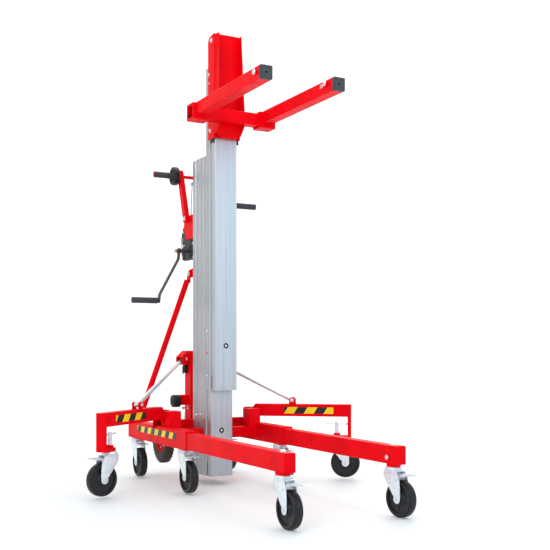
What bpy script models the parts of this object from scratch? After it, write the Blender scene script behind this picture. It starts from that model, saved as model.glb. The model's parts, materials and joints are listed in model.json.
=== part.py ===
"""Hand-cranked material lift: telescopic mast on two sliding legs, with fold-up outriggers, in metres and +Z up."""

import math

import bmesh
import bpy
from mathutils import Matrix, Vector

# All lengths are metres. X is across, -Y is the fork side, and Y = 0 here is the front of the top mast section.
MAST_FRONT_Y = 0.2428  # where that front lies in the finished part, so that the part is centred on its box
MAST_MIDDLE_X = 0.0053  # the same across, because the two outer casters trail by different angles
GAP = 0.0004  # clearance between pieces that touch or run in each other

# Legs and the sleeves that hold them.
LEG_X = 0.2573
LEG_WIDE = 0.0508
LEG_HIGH = 0.0762
LEG_WALL = 0.0032
LEG_BOTTOM = 0.2127
LEG_FRONT = -1.095
LEG_REAR = 0.300
LEG_HOLES = (-0.435, -0.721, -1.001)
LEG_HOLE_RADIUS = 0.0045
LEG_BOSS_HIGH = 0.0100
LEG_BOSS_RADIUS = 0.030
SLEEVE_WALL = 0.0037
SLEEVE_BOTTOM = 0.2080
SLEEVE_TOP = 0.2970
SLEEVE_FRONT = -0.165
SLEEVE_REAR = 0.625

# Casters, the same eight times.
WHEEL_RADIUS = 0.0760
WHEEL_WIDE = 0.0380
CASTER_HIGH = 0.2027
TRAIL = 0.0440
AXLE_RADIUS = 0.0060
YOKE_INSIDE = 0.0445
YOKE_SHEET = 0.0035
FRONT_CASTER_Y = -1.047
MIDDLE_CASTER_Y = -0.090
REAR_CASTER_Y = 0.560
OUTRIGGER_CASTER_LIFT = 0.0120
LEFT_SCREW_YAW = -72.3
RIGHT_SCREW_YAW = 57.0

# Outriggers, each measured along its own arm from the inner end, with depth behind its front face.
ARM_START_X = 0.2429
ARM_START_Y = 0.205
ARM_SPLAY = 37.9
ARM_LONG = 0.528
ARM_DEEP = 0.0465
ARM_BOTTOM = 0.3285
ARM_TOP = 0.3917
ARM_SHEET = 0.0035
HINGE_ALONG = 0.0150
HINGE_Z = 0.352
HINGE_RADIUS = 0.0075
DROP_SHEET = 0.017
FOOT_LONG = 0.092
FOOT_SHEET = 0.016
SCREW_FROM_END = 0.0745
SCREW_RADIUS = 0.010
SCREW_TOP = 0.300
T_BAR_LONG = 0.106
T_BAR_Z = 0.291
CLEVIS_ALONG = 0.219
CLEVIS_Z = 0.413
STAY_RADIUS = 0.011
STAY_EYE_HALF = 0.0112
HEAD_PIN_REACH = 0.100
HEAD_PIN_Z = 0.6285
PLANE_MEET_Y = 0.4236

# Mast: four nested sections, each a front box with two skirts that wrap the box behind it.
SECTION_PITCH = 0.050
BOX_HALF = 0.060
BOX_DEEP = 0.048
SHOULDER = 0.045
SKIRT_HALF = 0.066
SKIRT_SHEET = 0.0045
SKIRT_END = 0.0945
MAST_SHEET = 0.0035
MAST_LONG = 1.605
MAST_BOTTOM = 0.045
TOP_RAISED = 0.431
BASE_REAR = 0.260

# Carriage and forks.
CARRIAGE_BOTTOM = 1.719
CARRIAGE_TOP = 2.235
PLATE = 0.004
WEB_FRONT = -0.012
FLANGE_HALF = 0.060
FLANGE_FRONT_LOW = -0.0685
FLANGE_FRONT_HIGH = -0.048
SIDE_HALF = 0.0715
SIDE_REAR = 0.058
CROSS_HALF_LONG = 0.2185
CROSS_SIZE = 0.0590
CROSS_Y = -0.066
CROSS_Z = 1.8135
FORK_X = 0.1785
FORK_SIZE = 0.0580
FORK_TOP = 1.8540
FORK_TIP = -0.760
FORK_WALL = 0.003
CAP_SHEET = 0.012
COLLAR_WALL = 0.0090
COLLAR_HALF_LONG = 0.0430

# Winch and its frame on the back of the mast.
CRANK_Y = 0.373
CRANK_Z = 1.197
DRUM_Y = 0.368
DRUM_Z = 1.275
COVER_RADIUS = 0.081
FLANGE_RADIUS = 0.066
HUB_RADIUS = 0.034
CRANK_PATH = ((0.095, 0.000), (0.100, 0.042), (0.205, 0.232), (0.210, 0.276))
GRIP_RADIUS = 0.0165
GRIP_FROM = 0.218
GRIP_TO = 0.355
GRIP_REACH = 0.264
ROD_Y = 0.430
ROD_Z = 1.600
ROD_RADIUS = 0.0085
HANDLE_ARM_WIDE = 0.0235
HANDLE_GRIP_FROM = 0.129
HANDLE_GRIP_TO = 0.213
LOADING_WHEEL_X = 0.097
LOADING_WHEEL_RADIUS = 0.0485
LOADING_WHEEL_WIDE = 0.028
CABLE_CLIP_X = -0.050
CABLE_CLIP_Y = 0.306
CABLE_CLIP_Z = 1.535
CABLE_RADIUS = 0.0025

# Rear post, wheels and braces of the chassis.
POST_HALF = 0.040
POST_FRONT = 0.348
POST_REAR = 0.428
POST_WALL = 0.0035
POST_BOTTOM = 0.150
POST_TOP = 0.617
TRANSPORT_X = 0.111
TRANSPORT_Y = 0.557
TRANSPORT_Z = 0.186
TRANSPORT_RADIUS = 0.125
BRACKET_INNER = 0.074
AXLE_ROD_RADIUS = 0.0085
TRANSPORT_WIDE = 0.046
ROLLER_FROM = 0.0745
ROLLER_TO = 0.115
ROLLER_Y = 0.420
ROLLER_Z = 0.405
ROLLER_RADIUS = 0.033
BRACE_FOOT = (0.257, 0.523, 0.318)
BRACE_HEAD = (0.0455, 0.352, 1.0765)
BRACE_RADIUS = 0.015

frames = {}


def clear_scene():
    for obj in list(bpy.data.objects):
        bpy.data.objects.remove(obj)


def make_material(name, colour, roughness, metallic):
    material = bpy.data.materials.new(name)
    material.use_nodes = True
    shader = material.node_tree.nodes["Principled BSDF"]
    shader.inputs["Base Color"].default_value = (*colour, 1)
    shader.inputs["Roughness"].default_value = roughness
    shader.inputs["Metallic"].default_value = metallic
    return material


def box(x0, x1, y0, y1, z0, z1, round_edges=0.0):
    """A box between the given planes, with its edges chamfered when asked."""
    shape = bmesh.new()
    bmesh.ops.create_cube(shape, size=1)
    size = Vector((abs(x1 - x0), abs(y1 - y0), abs(z1 - z0)))
    middle = Vector(((x0 + x1) / 2, (y0 + y1) / 2, (z0 + z1) / 2))
    bmesh.ops.scale(shape, vec=size, verts=shape.verts)
    bmesh.ops.translate(shape, vec=middle, verts=shape.verts)
    if round_edges:
        bmesh.ops.bevel(shape, geom=shape.edges, offset=round_edges, segments=1, affect="EDGES")
    return shape


def beam(size_a, size_b, start, end, axis, corner=0.004, around=(0, 0)):
    """A bar with chamfered long edges along an axis, its section size_a by size_b centred on around."""
    a, b = size_a / 2, size_b / 2
    outline = []
    for sign_a, sign_b, flip in ((1, 1, 0), (-1, 1, 1), (-1, -1, 0), (1, -1, 1)):
        pair = [(sign_a * a, sign_b * (b - corner)), (sign_a * (a - corner), sign_b * b)]
        outline += pair[::-1] if flip else pair
    return prism([(p + around[0], q + around[1]) for p, q in outline], start, end, axis)


def prism(outline, start, end, axis):
    """The outline pushed along an axis. Outline pairs are (Y, Z) for X, (X, Z) for Y and (X, Y) for Z."""
    place = {
        "X": lambda a, b, t: (t, a, b),
        "Y": lambda a, b, t: (a, t, b),
        "Z": lambda a, b, t: (a, b, t),
    }[axis]
    shape = bmesh.new()
    rings = []
    for t in (start, end):
        rings.append([shape.verts.new(place(a, b, t)) for a, b in outline])
    shape.faces.new(rings[0])
    shape.faces.new(rings[1])
    count = len(outline)
    for i in range(count):
        j = (i + 1) % count
        shape.faces.new((rings[0][i], rings[0][j], rings[1][j], rings[1][i]))
    bmesh.ops.recalc_face_normals(shape, faces=shape.faces)
    return shape


def turned(profile, axis, centre, segments=20):
    """A closed profile of (radius, along) turned about an axis through centre; radius 0 ends lie on the axis."""
    shape = bmesh.new()
    rings = []
    for radius, along in profile:
        count = 1 if radius == 0 else segments
        ring = []
        for k in range(count):
            angle = 2 * math.pi * k / segments
            a, b = radius * math.cos(angle), radius * math.sin(angle)
            point = {"X": (along, a, b), "Y": (a, along, b), "Z": (a, b, along)}[axis]
            ring.append(shape.verts.new(Vector(point) + Vector(centre)))
        rings.append(ring)
    solid_ends = profile[0][0] == 0
    pairs = list(zip(rings, rings[1:]))
    if not solid_ends:
        pairs.append((rings[-1], rings[0]))
    for low, high in pairs:
        for k in range(segments):
            j = (k + 1) % segments
            corners = [low[k % len(low)], low[j % len(low)], high[j % len(high)], high[k % len(high)]]
            unique = [v for n, v in enumerate(corners) if v not in corners[:n]]
            if len(unique) > 2:
                shape.faces.new(unique)
    bmesh.ops.recalc_face_normals(shape, faces=shape.faces)
    return shape


def disc(radius, start, end, axis, centre, segments=20, edge=0.0):
    """A solid round bar between start and end, measured along the axis from centre."""
    if edge:
        profile = [(0, start), (radius - edge, start), (radius, start + edge)]
        profile += [(radius, end - edge), (radius - edge, end), (0, end)]
    else:
        profile = [(0, start), (radius, start), (radius, end), (0, end)]
    return turned(profile, axis, centre, segments)


def rod(start, end, radius, segments=16):
    """A round bar between two points."""
    start, end = Vector(start), Vector(end)
    shape = disc(radius, 0, (end - start).length, "Z", (0, 0, 0), segments)
    turn = (end - start).to_track_quat("Z", "Y").to_matrix().to_4x4()
    bmesh.ops.transform(shape, matrix=Matrix.Translation(start) @ turn, verts=shape.verts)
    return shape


def moved(shape, matrix):
    bmesh.ops.transform(shape, matrix=matrix, verts=shape.verts)
    if matrix.determinant() < 0:
        bmesh.ops.reverse_faces(shape, faces=shape.faces)
    return shape


def as_mesh(shape):
    mesh = bpy.data.meshes.new("shape")
    shape.to_mesh(mesh)
    shape.free()
    return mesh


def fuse(solids, cuts=()):
    """One closed mesh: the solids joined, then the cuts taken out of them."""
    body = bpy.data.objects.new("body", as_mesh(solids[0]))
    bpy.context.scene.collection.objects.link(body)
    helpers = [body]
    groups = []
    for operation, tools in (("UNION", solids[1:]), ("DIFFERENCE", cuts)):
        if not tools:
            continue
        group = bpy.data.collections.new("tools")
        bpy.context.scene.collection.children.link(group)
        groups.append(group)
        for tool in tools:
            helper = bpy.data.objects.new("tool", as_mesh(tool))
            helper.hide_render = True
            helper.display_type = "WIRE"
            group.objects.link(helper)
            helpers.append(helper)
        modifier = body.modifiers.new("join", "BOOLEAN")
        modifier.operation = operation
        modifier.operand_type = "COLLECTION"
        modifier.collection = group
        modifier.solver = "EXACT"
    graph = bpy.context.evaluated_depsgraph_get()
    mesh = bpy.data.meshes.new_from_object(body.evaluated_get(graph))
    for helper in helpers:
        bpy.data.objects.remove(helper)
    for group in groups:
        bpy.data.collections.remove(group)
    return mesh


def at(x=0.0, y=0.0, z=0.0, yaw=0.0):
    return Matrix.Translation((x, y, z)) @ Matrix.Rotation(math.radians(yaw), 4, "Z")


def add(name, mesh, material, frame, parent="lift", local=False):
    """Places a mesh as a named piece whose origin and axes are the frame's."""
    if isinstance(mesh, bmesh.types.BMesh):
        mesh = as_mesh(mesh)
    if not local:
        mesh.transform(frame.inverted())
    mesh.name = name
    mesh.materials.clear()
    mesh.materials.append(material)
    mesh.shade_smooth()
    mesh.set_sharp_from_angle(angle=math.radians(35))
    piece = bpy.data.objects.new(name, mesh)
    bpy.context.scene.collection.objects.link(piece)
    piece.parent = bpy.data.objects[parent]
    piece.matrix_basis = frames[parent].inverted() @ frame
    frames[name] = frame
    return piece


def add_root():
    root = bpy.data.objects.new("lift", None)
    bpy.context.scene.collection.objects.link(root)
    root.location = (MAST_MIDDLE_X, MAST_FRONT_Y, 0)
    frames["lift"] = Matrix.Identity(4)


def arm_frame(side):
    """Origin on the inner end's front face, X outward along the arm; Y is behind on the right and ahead on the left."""
    yaw = -ARM_SPLAY if side > 0 else ARM_SPLAY - 180
    return at(side * ARM_START_X, ARM_START_Y, 0, yaw)


def arm_box(side, s0, s1, d0, d1, z0, z1):
    """A box in an outrigger's own measure: along the arm, depth behind its front face, and height."""
    return moved(box(s0, s1, side * d0, side * d1, z0, z1), arm_frame(side))


def arm_round(side, radius, s, z, d0, d1, segments=16):
    """A round bar through an outrigger, across its depth."""
    low, high = sorted((side * d0, side * d1))
    return moved(disc(radius, low, high, "Y", (s, 0, z), segments), arm_frame(side))


def reach_to_along(reach):
    """Turns a distance from the line where both arm planes meet into a length along the arm."""
    splay = math.radians(ARM_SPLAY)
    return reach - ARM_START_X * math.cos(splay) - (PLANE_MEET_Y - ARM_START_Y) * math.sin(splay)


def arm_mid():
    """Depth of the vertical plane that holds a stay, its clevis and its head pin."""
    return ARM_DEEP / 2


def sleeve(side):
    wide = LEG_WIDE + 2 * GAP + 2 * SLEEVE_WALL
    return box(
        side * LEG_X - wide / 2, side * LEG_X + wide / 2, SLEEVE_FRONT, SLEEVE_REAR, SLEEVE_BOTTOM, SLEEVE_TOP, 0.002
    )


def sleeve_bore(side):
    wide = LEG_WIDE + 2 * GAP
    return box(
        side * LEG_X - wide / 2,
        side * LEG_X + wide / 2,
        SLEEVE_FRONT - 0.01,
        SLEEVE_REAR + 0.01,
        LEG_BOTTOM - GAP,
        LEG_BOTTOM + LEG_HIGH + GAP,
    )


def hinge_bracket(side):
    """The block beside the mast and the two cheeks that carry an outrigger's pin."""
    block = box(side * 0.188, side * 0.256, 0.120, 0.1905, 0.230, 0.372, 0.003)
    cheek = 0.005
    front = arm_box(side, -0.034, 0.034, -cheek - GAP, -GAP, 0.285, 0.374)
    back = arm_box(side, -0.034, 0.030, ARM_DEEP + GAP, ARM_DEEP + GAP + cheek, 0.285, 0.374)
    web = arm_box(side, -0.039, -0.031, -cheek - GAP, ARM_DEEP + GAP + cheek, 0.240, 0.374)
    pin = arm_round(side, HINGE_RADIUS, HINGE_ALONG, HINGE_Z, -0.012, ARM_DEEP + 0.012)
    return [block, front, back, web, pin]


def wheel_bracket(side):
    """The plate beside the rear post that carries the axle of the transport wheels."""
    y, z = TRANSPORT_Y, TRANSPORT_Z
    outline = [(0.292, 0.232), (0.292, 0.300), (0.420, 0.300), (y + 0.028, z + 0.019), (y + 0.028, z - 0.016),
               (y - 0.012, z - 0.021), (0.380, 0.232)]
    return prism(outline, *sorted((side * BRACKET_INNER, side * (BRACKET_INNER + 0.007))), "X")


def add_chassis(red):
    solids = [box(-0.240, 0.240, 0.2625, 0.300, 0.228, 0.318, 0.002)]
    cuts = []
    for side in (-1, 1):
        solids.append(sleeve(side))
        cuts.append(sleeve_bore(side))
        solids += hinge_bracket(side)
        inner = SKIRT_HALF + 0.004
        solids.append(box(side * inner, side * 0.235, 0.122, 0.188, 0.228, 0.280))
        solids.append(box(side * inner, side * (inner + 0.006), 0.124, 0.290, 0.232, 0.280))
        solids.append(wheel_bracket(side))
        solids.append(box(side * 0.2617, side * 0.2677, 0.508, 0.538, 0.292, 0.325))
    solids.append(box(-POST_HALF, POST_HALF, POST_FRONT, POST_REAR, POST_BOTTOM, POST_TOP, 0.003))
    solids.append(box(-0.036, 0.036, 0.290, POST_FRONT + 0.002, 0.234, 0.312))
    solids.append(disc(AXLE_ROD_RADIUS, -0.1385, 0.1385, "X", (0, TRANSPORT_Y, TRANSPORT_Z), 16))
    reach = ROLLER_FROM - 0.002
    solids.append(box(-reach, reach, 0.4075, 0.434, ROLLER_Z - 0.022, ROLLER_Z + 0.032, 0.002))
    solids.append(disc(0.006, -0.117, 0.117, "X", (0, ROLLER_Y, ROLLER_Z), 16))
    cuts.append(
        box(
            -POST_HALF + POST_WALL,
            POST_HALF - POST_WALL,
            POST_FRONT + POST_WALL,
            POST_REAR - POST_WALL,
            POST_BOTTOM - 0.01,
            POST_TOP + 0.01,
        )
    )
    add("chassis", fuse(solids, cuts), red, at())


def add_leg(name, side, red):
    centre = (side * LEG_X, LEG_BOTTOM + LEG_HIGH / 2)
    tube = beam(LEG_WIDE, LEG_HIGH, LEG_FRONT, LEG_REAR, "Y", 0.003, centre)
    boss = disc(LEG_BOSS_RADIUS, -LEG_BOSS_HIGH, 0.002, "Z", (centre[0], FRONT_CASTER_Y, LEG_BOTTOM), 16)
    top = LEG_BOTTOM + LEG_HIGH
    nut = turned([(0, -0.002), (0.011, -0.002), (0.010, 0.004), (0.006, 0.007), (0, 0.008)], "Z",
                 (centre[0], FRONT_CASTER_Y + 0.004, top), 12)
    inside = beam(
        LEG_WIDE - 2 * LEG_WALL, LEG_HIGH - 2 * LEG_WALL, LEG_FRONT + 0.004, LEG_REAR + 0.01, "Y", 0.001, centre
    )
    holes = [
        disc(LEG_HOLE_RADIUS, -0.04, 0.04, "X", (centre[0], y, LEG_BOTTOM + 0.042), 10) for y in LEG_HOLES
    ]
    add(name, fuse([tube, boss, nut], [inside, *holes]), red, at(*centre[:1], 0, 0))


def caster_wheel():
    half = WHEEL_WIDE / 2
    bore = AXLE_RADIUS + GAP
    rim = [(bore, half), (0.025, half - 0.002), (0.056, half - 0.008), (0.062, half), (WHEEL_RADIUS, half - 0.006)]
    profile = rim + [(radius, -along) for radius, along in reversed(rim)]
    return turned(profile, "X", (0, 0, 0), 20)


def yoke_leg(x0, x1):
    """One V-shaped side of the fork that holds a caster's wheel."""
    outline = [(0.030, 0.186), (0.030, 0.168), (0.014, 0.150)]
    for k in range(4):
        angle = math.radians(10 - 66 * k)
        outline.append((-TRAIL + 0.013 * math.cos(angle), WHEEL_RADIUS + 0.013 * math.sin(angle)))
    outline += [(-0.056, 0.110), (-0.052, 0.150), (-0.040, 0.172), (-0.036, 0.186)]
    return prism(outline, x0, x1, "X")


def caster_yoke():
    inner, outer = YOKE_INSIDE / 2, YOKE_INSIDE / 2 + YOKE_SHEET
    solids = [
        box(-outer, outer, -0.036, 0.030, 0.182, 0.1865),
        yoke_leg(-outer, -inner),
        yoke_leg(inner, outer),
        turned([(0, 0.1845), (0.0375, 0.1845), (0.0375, 0.1960), (0.0345, CASTER_HIGH - GAP), (0, CASTER_HIGH - GAP)],
               "Z", (0, 0, 0), 12),
        disc(AXLE_RADIUS, -outer - 0.005, outer + 0.005, "X", (0, -TRAIL, WHEEL_RADIUS), 8),
    ]
    return fuse(solids)


def brake_pedal():
    """A pedal about its own hinge: a barrel between the yoke's sides and a foot plate out past the wheel."""
    arm = prism([(-0.006, -0.004), (0.004, -0.004), (0.004, 0.004), (-0.055, 0.009), (-0.055, 0.003)],
                -0.019, 0.019, "X")
    foot = prism([(-0.026, -0.016), (0.026, -0.016), (0.030, -0.050), (0.024, -0.066), (-0.024, -0.066),
                  (-0.030, -0.050)], 0.003, 0.009, "Z")
    foot = moved(foot, Matrix.Translation((0, -0.020, 0)))
    barrel = disc(0.0065, -0.0215, 0.0215, "X", (0, 0, 0), 8)
    return fuse([barrel, arm, foot])


def add_casters(zinc, rubber, pedal_grey):
    yoke, wheel, pedal = caster_yoke(), as_mesh(caster_wheel()), brake_pedal()
    splay = math.radians(ARM_SPLAY)
    along = ARM_LONG - SCREW_FROM_END
    depth = arm_mid()
    screw_x = ARM_START_X + along * math.cos(splay) + depth * math.sin(splay)
    screw_y = ARM_START_Y - along * math.sin(splay) + depth * math.cos(splay)
    sleeve_lift = SLEEVE_BOTTOM - CASTER_HIGH
    leg_lift = LEG_BOTTOM - LEG_BOSS_HIGH - CASTER_HIGH
    places = (
        ("front_left", "leg_left", -LEG_X, FRONT_CASTER_Y, leg_lift, 1.0),
        ("front_right", "leg_right", LEG_X, FRONT_CASTER_Y, leg_lift, 6.0),
        ("middle_left", "chassis", -LEG_X, MIDDLE_CASTER_Y, sleeve_lift, 1.0),
        ("middle_right", "chassis", LEG_X, MIDDLE_CASTER_Y, sleeve_lift, -4.0),
        ("rear_left", "chassis", -LEG_X, REAR_CASTER_Y, sleeve_lift, -2.0),
        ("rear_right", "chassis", LEG_X, REAR_CASTER_Y, sleeve_lift, 3.0),
        ("outrigger_left", "jack_screw_left", -screw_x, screw_y, OUTRIGGER_CASTER_LIFT, LEFT_SCREW_YAW),
        ("outrigger_right", "jack_screw_right", screw_x, screw_y, OUTRIGGER_CASTER_LIFT, RIGHT_SCREW_YAW),
    )
    for name, parent, x, y, lift, yaw in places:
        swivel = at(x, y, lift, yaw)
        add("yoke_" + name, yoke.copy(), zinc, swivel, parent, local=True)
        hub = swivel @ at(0, -TRAIL, WHEEL_RADIUS)
        add("wheel_" + name, wheel.copy(), rubber, hub, "yoke_" + name, local=True)
        hinge = swivel @ at(0, -0.026, 0.168)
        add("brake_" + name, pedal.copy(), pedal_grey, hinge, "yoke_" + name, local=True)


def add_outrigger(word, side, red, zinc, aluminium):
    bar = prism([(0, ARM_BOTTOM), (ARM_LONG, ARM_BOTTOM), (ARM_LONG, ARM_TOP), (0.022, ARM_TOP),
                 (0, ARM_TOP - 0.030)], *sorted((0, side * ARM_DEEP)), "Y")
    foot_bottom = OUTRIGGER_CASTER_LIFT + CASTER_HIGH
    screw_s = ARM_LONG - SCREW_FROM_END
    mid = arm_mid()
    solids = [moved(bar, arm_frame(side))]
    solids.append(arm_box(side, ARM_LONG - DROP_SHEET, ARM_LONG, 0, ARM_DEEP, foot_bottom, ARM_BOTTOM + 0.002))
    solids.append(arm_box(side, ARM_LONG - FOOT_LONG, ARM_LONG - 0.003, 0.0015, ARM_DEEP - 0.0015, foot_bottom,
                          foot_bottom + FOOT_SHEET))
    boss = disc(0.018, foot_bottom + 0.002, foot_bottom + FOOT_SHEET + 0.012, "Z", (screw_s, side * mid, 0), 16)
    solids.append(moved(boss, arm_frame(side)))
    for d0, d1 in ((mid - 0.020, mid - 0.015), (mid + 0.015, mid + 0.020)):
        lug = prism([(CLEVIS_ALONG - 0.017, ARM_TOP - 0.002), (CLEVIS_ALONG + 0.017, ARM_TOP - 0.002),
                     (CLEVIS_ALONG + 0.015, CLEVIS_Z + 0.006), (CLEVIS_ALONG + 0.008, CLEVIS_Z + 0.014),
                     (CLEVIS_ALONG - 0.008, CLEVIS_Z + 0.014), (CLEVIS_ALONG - 0.015, CLEVIS_Z + 0.006)],
                    *sorted((side * d0, side * d1)), "Y")
        solids.append(moved(lug, arm_frame(side)))
    solids.append(arm_round(side, 0.005, CLEVIS_ALONG, CLEVIS_Z, mid - 0.025, mid + 0.025, 8))
    bore = disc(SCREW_RADIUS + GAP, foot_bottom - 0.01, foot_bottom + 0.05, "Z", (screw_s, side * mid, 0), 16)
    cuts = [moved(bore, arm_frame(side))]
    cuts.append(arm_round(side, HINGE_RADIUS + GAP, HINGE_ALONG, HINGE_Z, -0.02, ARM_DEEP + 0.02))
    cuts.append(arm_box(side, -0.01, ARM_LONG - ARM_SHEET, ARM_SHEET, ARM_DEEP - ARM_SHEET, ARM_BOTTOM + ARM_SHEET,
                        ARM_TOP - ARM_SHEET))
    hinge = arm_frame(side) @ at(HINGE_ALONG, side * mid, HINGE_Z)
    arm = "outrigger_" + word
    add(arm, fuse(solids, cuts), red, hinge, "chassis")
    add_jack_screw("jack_screw_" + word, side, zinc, foot_bottom, arm)
    add_stay("stay_" + word, side, aluminium, arm)


def add_jack_screw(name, side, zinc, foot_bottom, arm):
    axis = arm_frame(side) @ at(ARM_LONG - SCREW_FROM_END, side * arm_mid(), 0)
    shaft = disc(SCREW_RADIUS, foot_bottom + GAP, SCREW_TOP, "Z", (0, 0, 0), 16, 0.0015)
    bar = disc(0.0042, -T_BAR_LONG / 2, T_BAR_LONG / 2, "X", (0, 0, T_BAR_Z), 8)
    mesh = fuse([moved(shaft, axis), moved(bar, axis @ Matrix.Rotation(math.radians(-side * 8), 4, "Z"))])
    add(name, mesh, zinc, axis @ at(0, 0, foot_bottom), arm)


def stay_points(side):
    low = arm_frame(side) @ Vector((CLEVIS_ALONG, side * arm_mid(), CLEVIS_Z))
    high = arm_frame(side) @ Vector((reach_to_along(HEAD_PIN_REACH), side * arm_mid(), HEAD_PIN_Z))
    return low, high


def add_stay(name, side, aluminium, arm):
    """A round tube with a drilled eye at each end."""
    low, high = stay_points(side)
    along = (high - low).normalized()
    solids = [rod(low + along * 0.010, high - along * 0.010, STAY_RADIUS, 12)]
    cuts = []
    for point in (low, high):
        eye = disc(0.0125, -STAY_EYE_HALF, STAY_EYE_HALF, "Y", (0, 0, 0), 12)
        hole = disc(0.0056 + GAP, -0.03, 0.03, "Y", (0, 0, 0), 8)
        frame = Matrix.Translation(point) @ arm_frame(side).to_3x3().to_4x4()
        solids.append(moved(eye, frame))
        cuts.append(moved(hole, frame))
    pivot = Matrix.Translation(low) @ arm_frame(side).to_3x3().to_4x4()
    add(name, fuse(solids, cuts), aluminium, pivot, arm)


def add_stay_head(red):
    """Inner tube of the rear post, with a hood on each side that holds the upper end of a stay."""
    inner = POST_WALL + GAP
    solids = [
        box(-POST_HALF + inner, POST_HALF - inner, POST_FRONT + inner, POST_REAR - inner, 0.195, 0.640, 0.001),
        box(-POST_HALF + 0.006, POST_HALF - 0.006, POST_FRONT + 0.012, POST_REAR + 0.010, POST_TOP + GAP, 0.654, 0.002),
    ]
    mid = arm_mid()
    for side in (-1, 1):
        for d0, d1 in ((mid - 0.0180, mid - 0.0140), (mid + 0.0140, mid + 0.0180)):
            cheek = prism(
                [(reach_to_along(0.020), POST_TOP + 0.003), (reach_to_along(0.064), POST_TOP + 0.003),
                 (reach_to_along(0.071), 0.598), (reach_to_along(0.112), 0.598), (reach_to_along(0.140), 0.616),
                 (reach_to_along(0.140), 0.6390), (reach_to_along(0.075), 0.671), (reach_to_along(0.020), 0.671)],
                *sorted((side * d0, side * d1)), "Y")
            solids.append(moved(cheek, arm_frame(side)))
        roof = prism(
            [(reach_to_along(0.140), 0.6360), (reach_to_along(0.140), 0.6400), (reach_to_along(0.075), 0.6720),
             (reach_to_along(0.010), 0.6720), (reach_to_along(0.010), 0.6675), (reach_to_along(0.074), 0.6675)],
            *sorted((side * (mid - 0.018), side * (mid + 0.018))), "Y")
        solids.append(moved(roof, arm_frame(side)))
        for d0, d1 in ((mid - 0.022, mid - STAY_EYE_HALF - GAP), (mid + STAY_EYE_HALF + GAP, mid + 0.022)):
            solids.append(arm_round(side, 0.005, reach_to_along(HEAD_PIN_REACH), HEAD_PIN_Z, d0, d1, 8))
    add("stay_head", fuse(solids), red, at(0, POST_REAR - 0.04, POST_TOP), "chassis")


def section_outline(front):
    """Half outline of a mast section: a box with chamfered corners, a shoulder and a skirt."""
    half = [(BOX_HALF - 0.003, front), (BOX_HALF, front + 0.003), (BOX_HALF, front + 0.0075),
            (BOX_HALF - 0.001, front + 0.0085), (BOX_HALF - 0.001, front + 0.0105), (BOX_HALF, front + 0.0115),
            (BOX_HALF, front + SHOULDER), (SKIRT_HALF, front + SHOULDER + 0.002)]
    return half


def section_solid(front, bottom, top):
    half = section_outline(front)
    half += [(SKIRT_HALF, front + SKIRT_END), (SKIRT_HALF - SKIRT_SHEET, front + SKIRT_END),
             (SKIRT_HALF - SKIRT_SHEET, front + BOX_DEEP)]
    outline = half + [(-x, y) for x, y in reversed(half)]
    hollow = box(-BOX_HALF + MAST_SHEET, BOX_HALF - MAST_SHEET, front + MAST_SHEET, front + BOX_DEEP - MAST_SHEET,
                 bottom - 0.01, top + 0.01)
    return fuse([prism(outline, bottom, top, "Z")], [hollow])


def base_solid(front, bottom, top):
    half = section_outline(front)
    half += [(SKIRT_HALF, front + 0.055), (SKIRT_HALF - 0.003, front + 0.057), (SKIRT_HALF - 0.003, front + 0.073),
             (SKIRT_HALF, front + 0.075), (SKIRT_HALF, BASE_REAR - 0.003), (SKIRT_HALF - 0.003, BASE_REAR)]
    outline = half + [(-x, y) for x, y in reversed(half)]
    hollows = []
    for y0, y1, wide in ((front + MAST_SHEET, front + 0.040, BOX_HALF - MAST_SHEET),
                         (front + 0.044, BASE_REAR - MAST_SHEET, SKIRT_HALF - 0.0065)):
        hollows.append(box(-wide, wide, y0, y1, bottom - 0.01, top + 0.01))
    clip = box(CABLE_CLIP_X - 0.005, CABLE_CLIP_X + 0.005, BASE_REAR - 0.002, CABLE_CLIP_Y + 0.006, CABLE_CLIP_Z,
               CABLE_CLIP_Z + 0.014)
    return fuse([prism(outline, bottom, top, "Z"), clip], hollows)


def add_mast(aluminium):
    top = MAST_BOTTOM + MAST_LONG
    add("mast_base", base_solid(3 * SECTION_PITCH, MAST_BOTTOM, top), aluminium, at(0, 0.2, MAST_BOTTOM), "chassis")
    parent = "mast_base"
    for number, raised in ((2, 0), (1, 0), (0, TOP_RAISED)):
        front = number * SECTION_PITCH
        name = ("mast_top", "mast_upper", "mast_lower")[number]
        mesh = section_solid(front, MAST_BOTTOM + raised, top + raised)
        add(name, mesh, aluminium, at(0, front, MAST_BOTTOM + raised), parent)
        parent = name


def lofted(rings):
    """A solid through rings of corners, one above the other."""
    shape = bmesh.new()
    rings = [[shape.verts.new(corner) for corner in ring] for ring in rings]
    shape.faces.new(rings[0])
    shape.faces.new(rings[-1])
    count = len(rings[0])
    for low, high in zip(rings, rings[1:]):
        for i in range(count):
            j = (i + 1) % count
            shape.faces.new((low[i], low[j], high[j], high[i]))
    bmesh.ops.triangulate(shape, faces=shape.faces)
    bmesh.ops.recalc_face_normals(shape, faces=shape.faces)
    return shape


def carriage_flange(side):
    """The front edge of a side plate, folded a little inward and deepest beside the cross tube."""
    levels = (
        (CARRIAGE_BOTTOM + 0.020, FLANGE_HALF + 0.008, -0.034),
        (CROSS_Z - 0.0385, FLANGE_HALF + 0.009, FLANGE_FRONT_LOW),
        (CROSS_Z + 0.0465, FLANGE_HALF + 0.009, FLANGE_FRONT_LOW),
        (CARRIAGE_TOP - 0.009, FLANGE_HALF + 0.0017, FLANGE_FRONT_HIGH),
    )
    rings = []
    for z, front_x, front_y in levels:
        back_z = min(z, CARRIAGE_TOP - 0.0045)
        rings.append([
            (side * SIDE_HALF, WEB_FRONT + PLATE, back_z),
            (side * front_x, front_y, z),
            (side * (front_x - PLATE), front_y, z),
            (side * (SIDE_HALF - PLATE), WEB_FRONT + PLATE, back_z),
        ])
    return lofted(rings)


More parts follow.
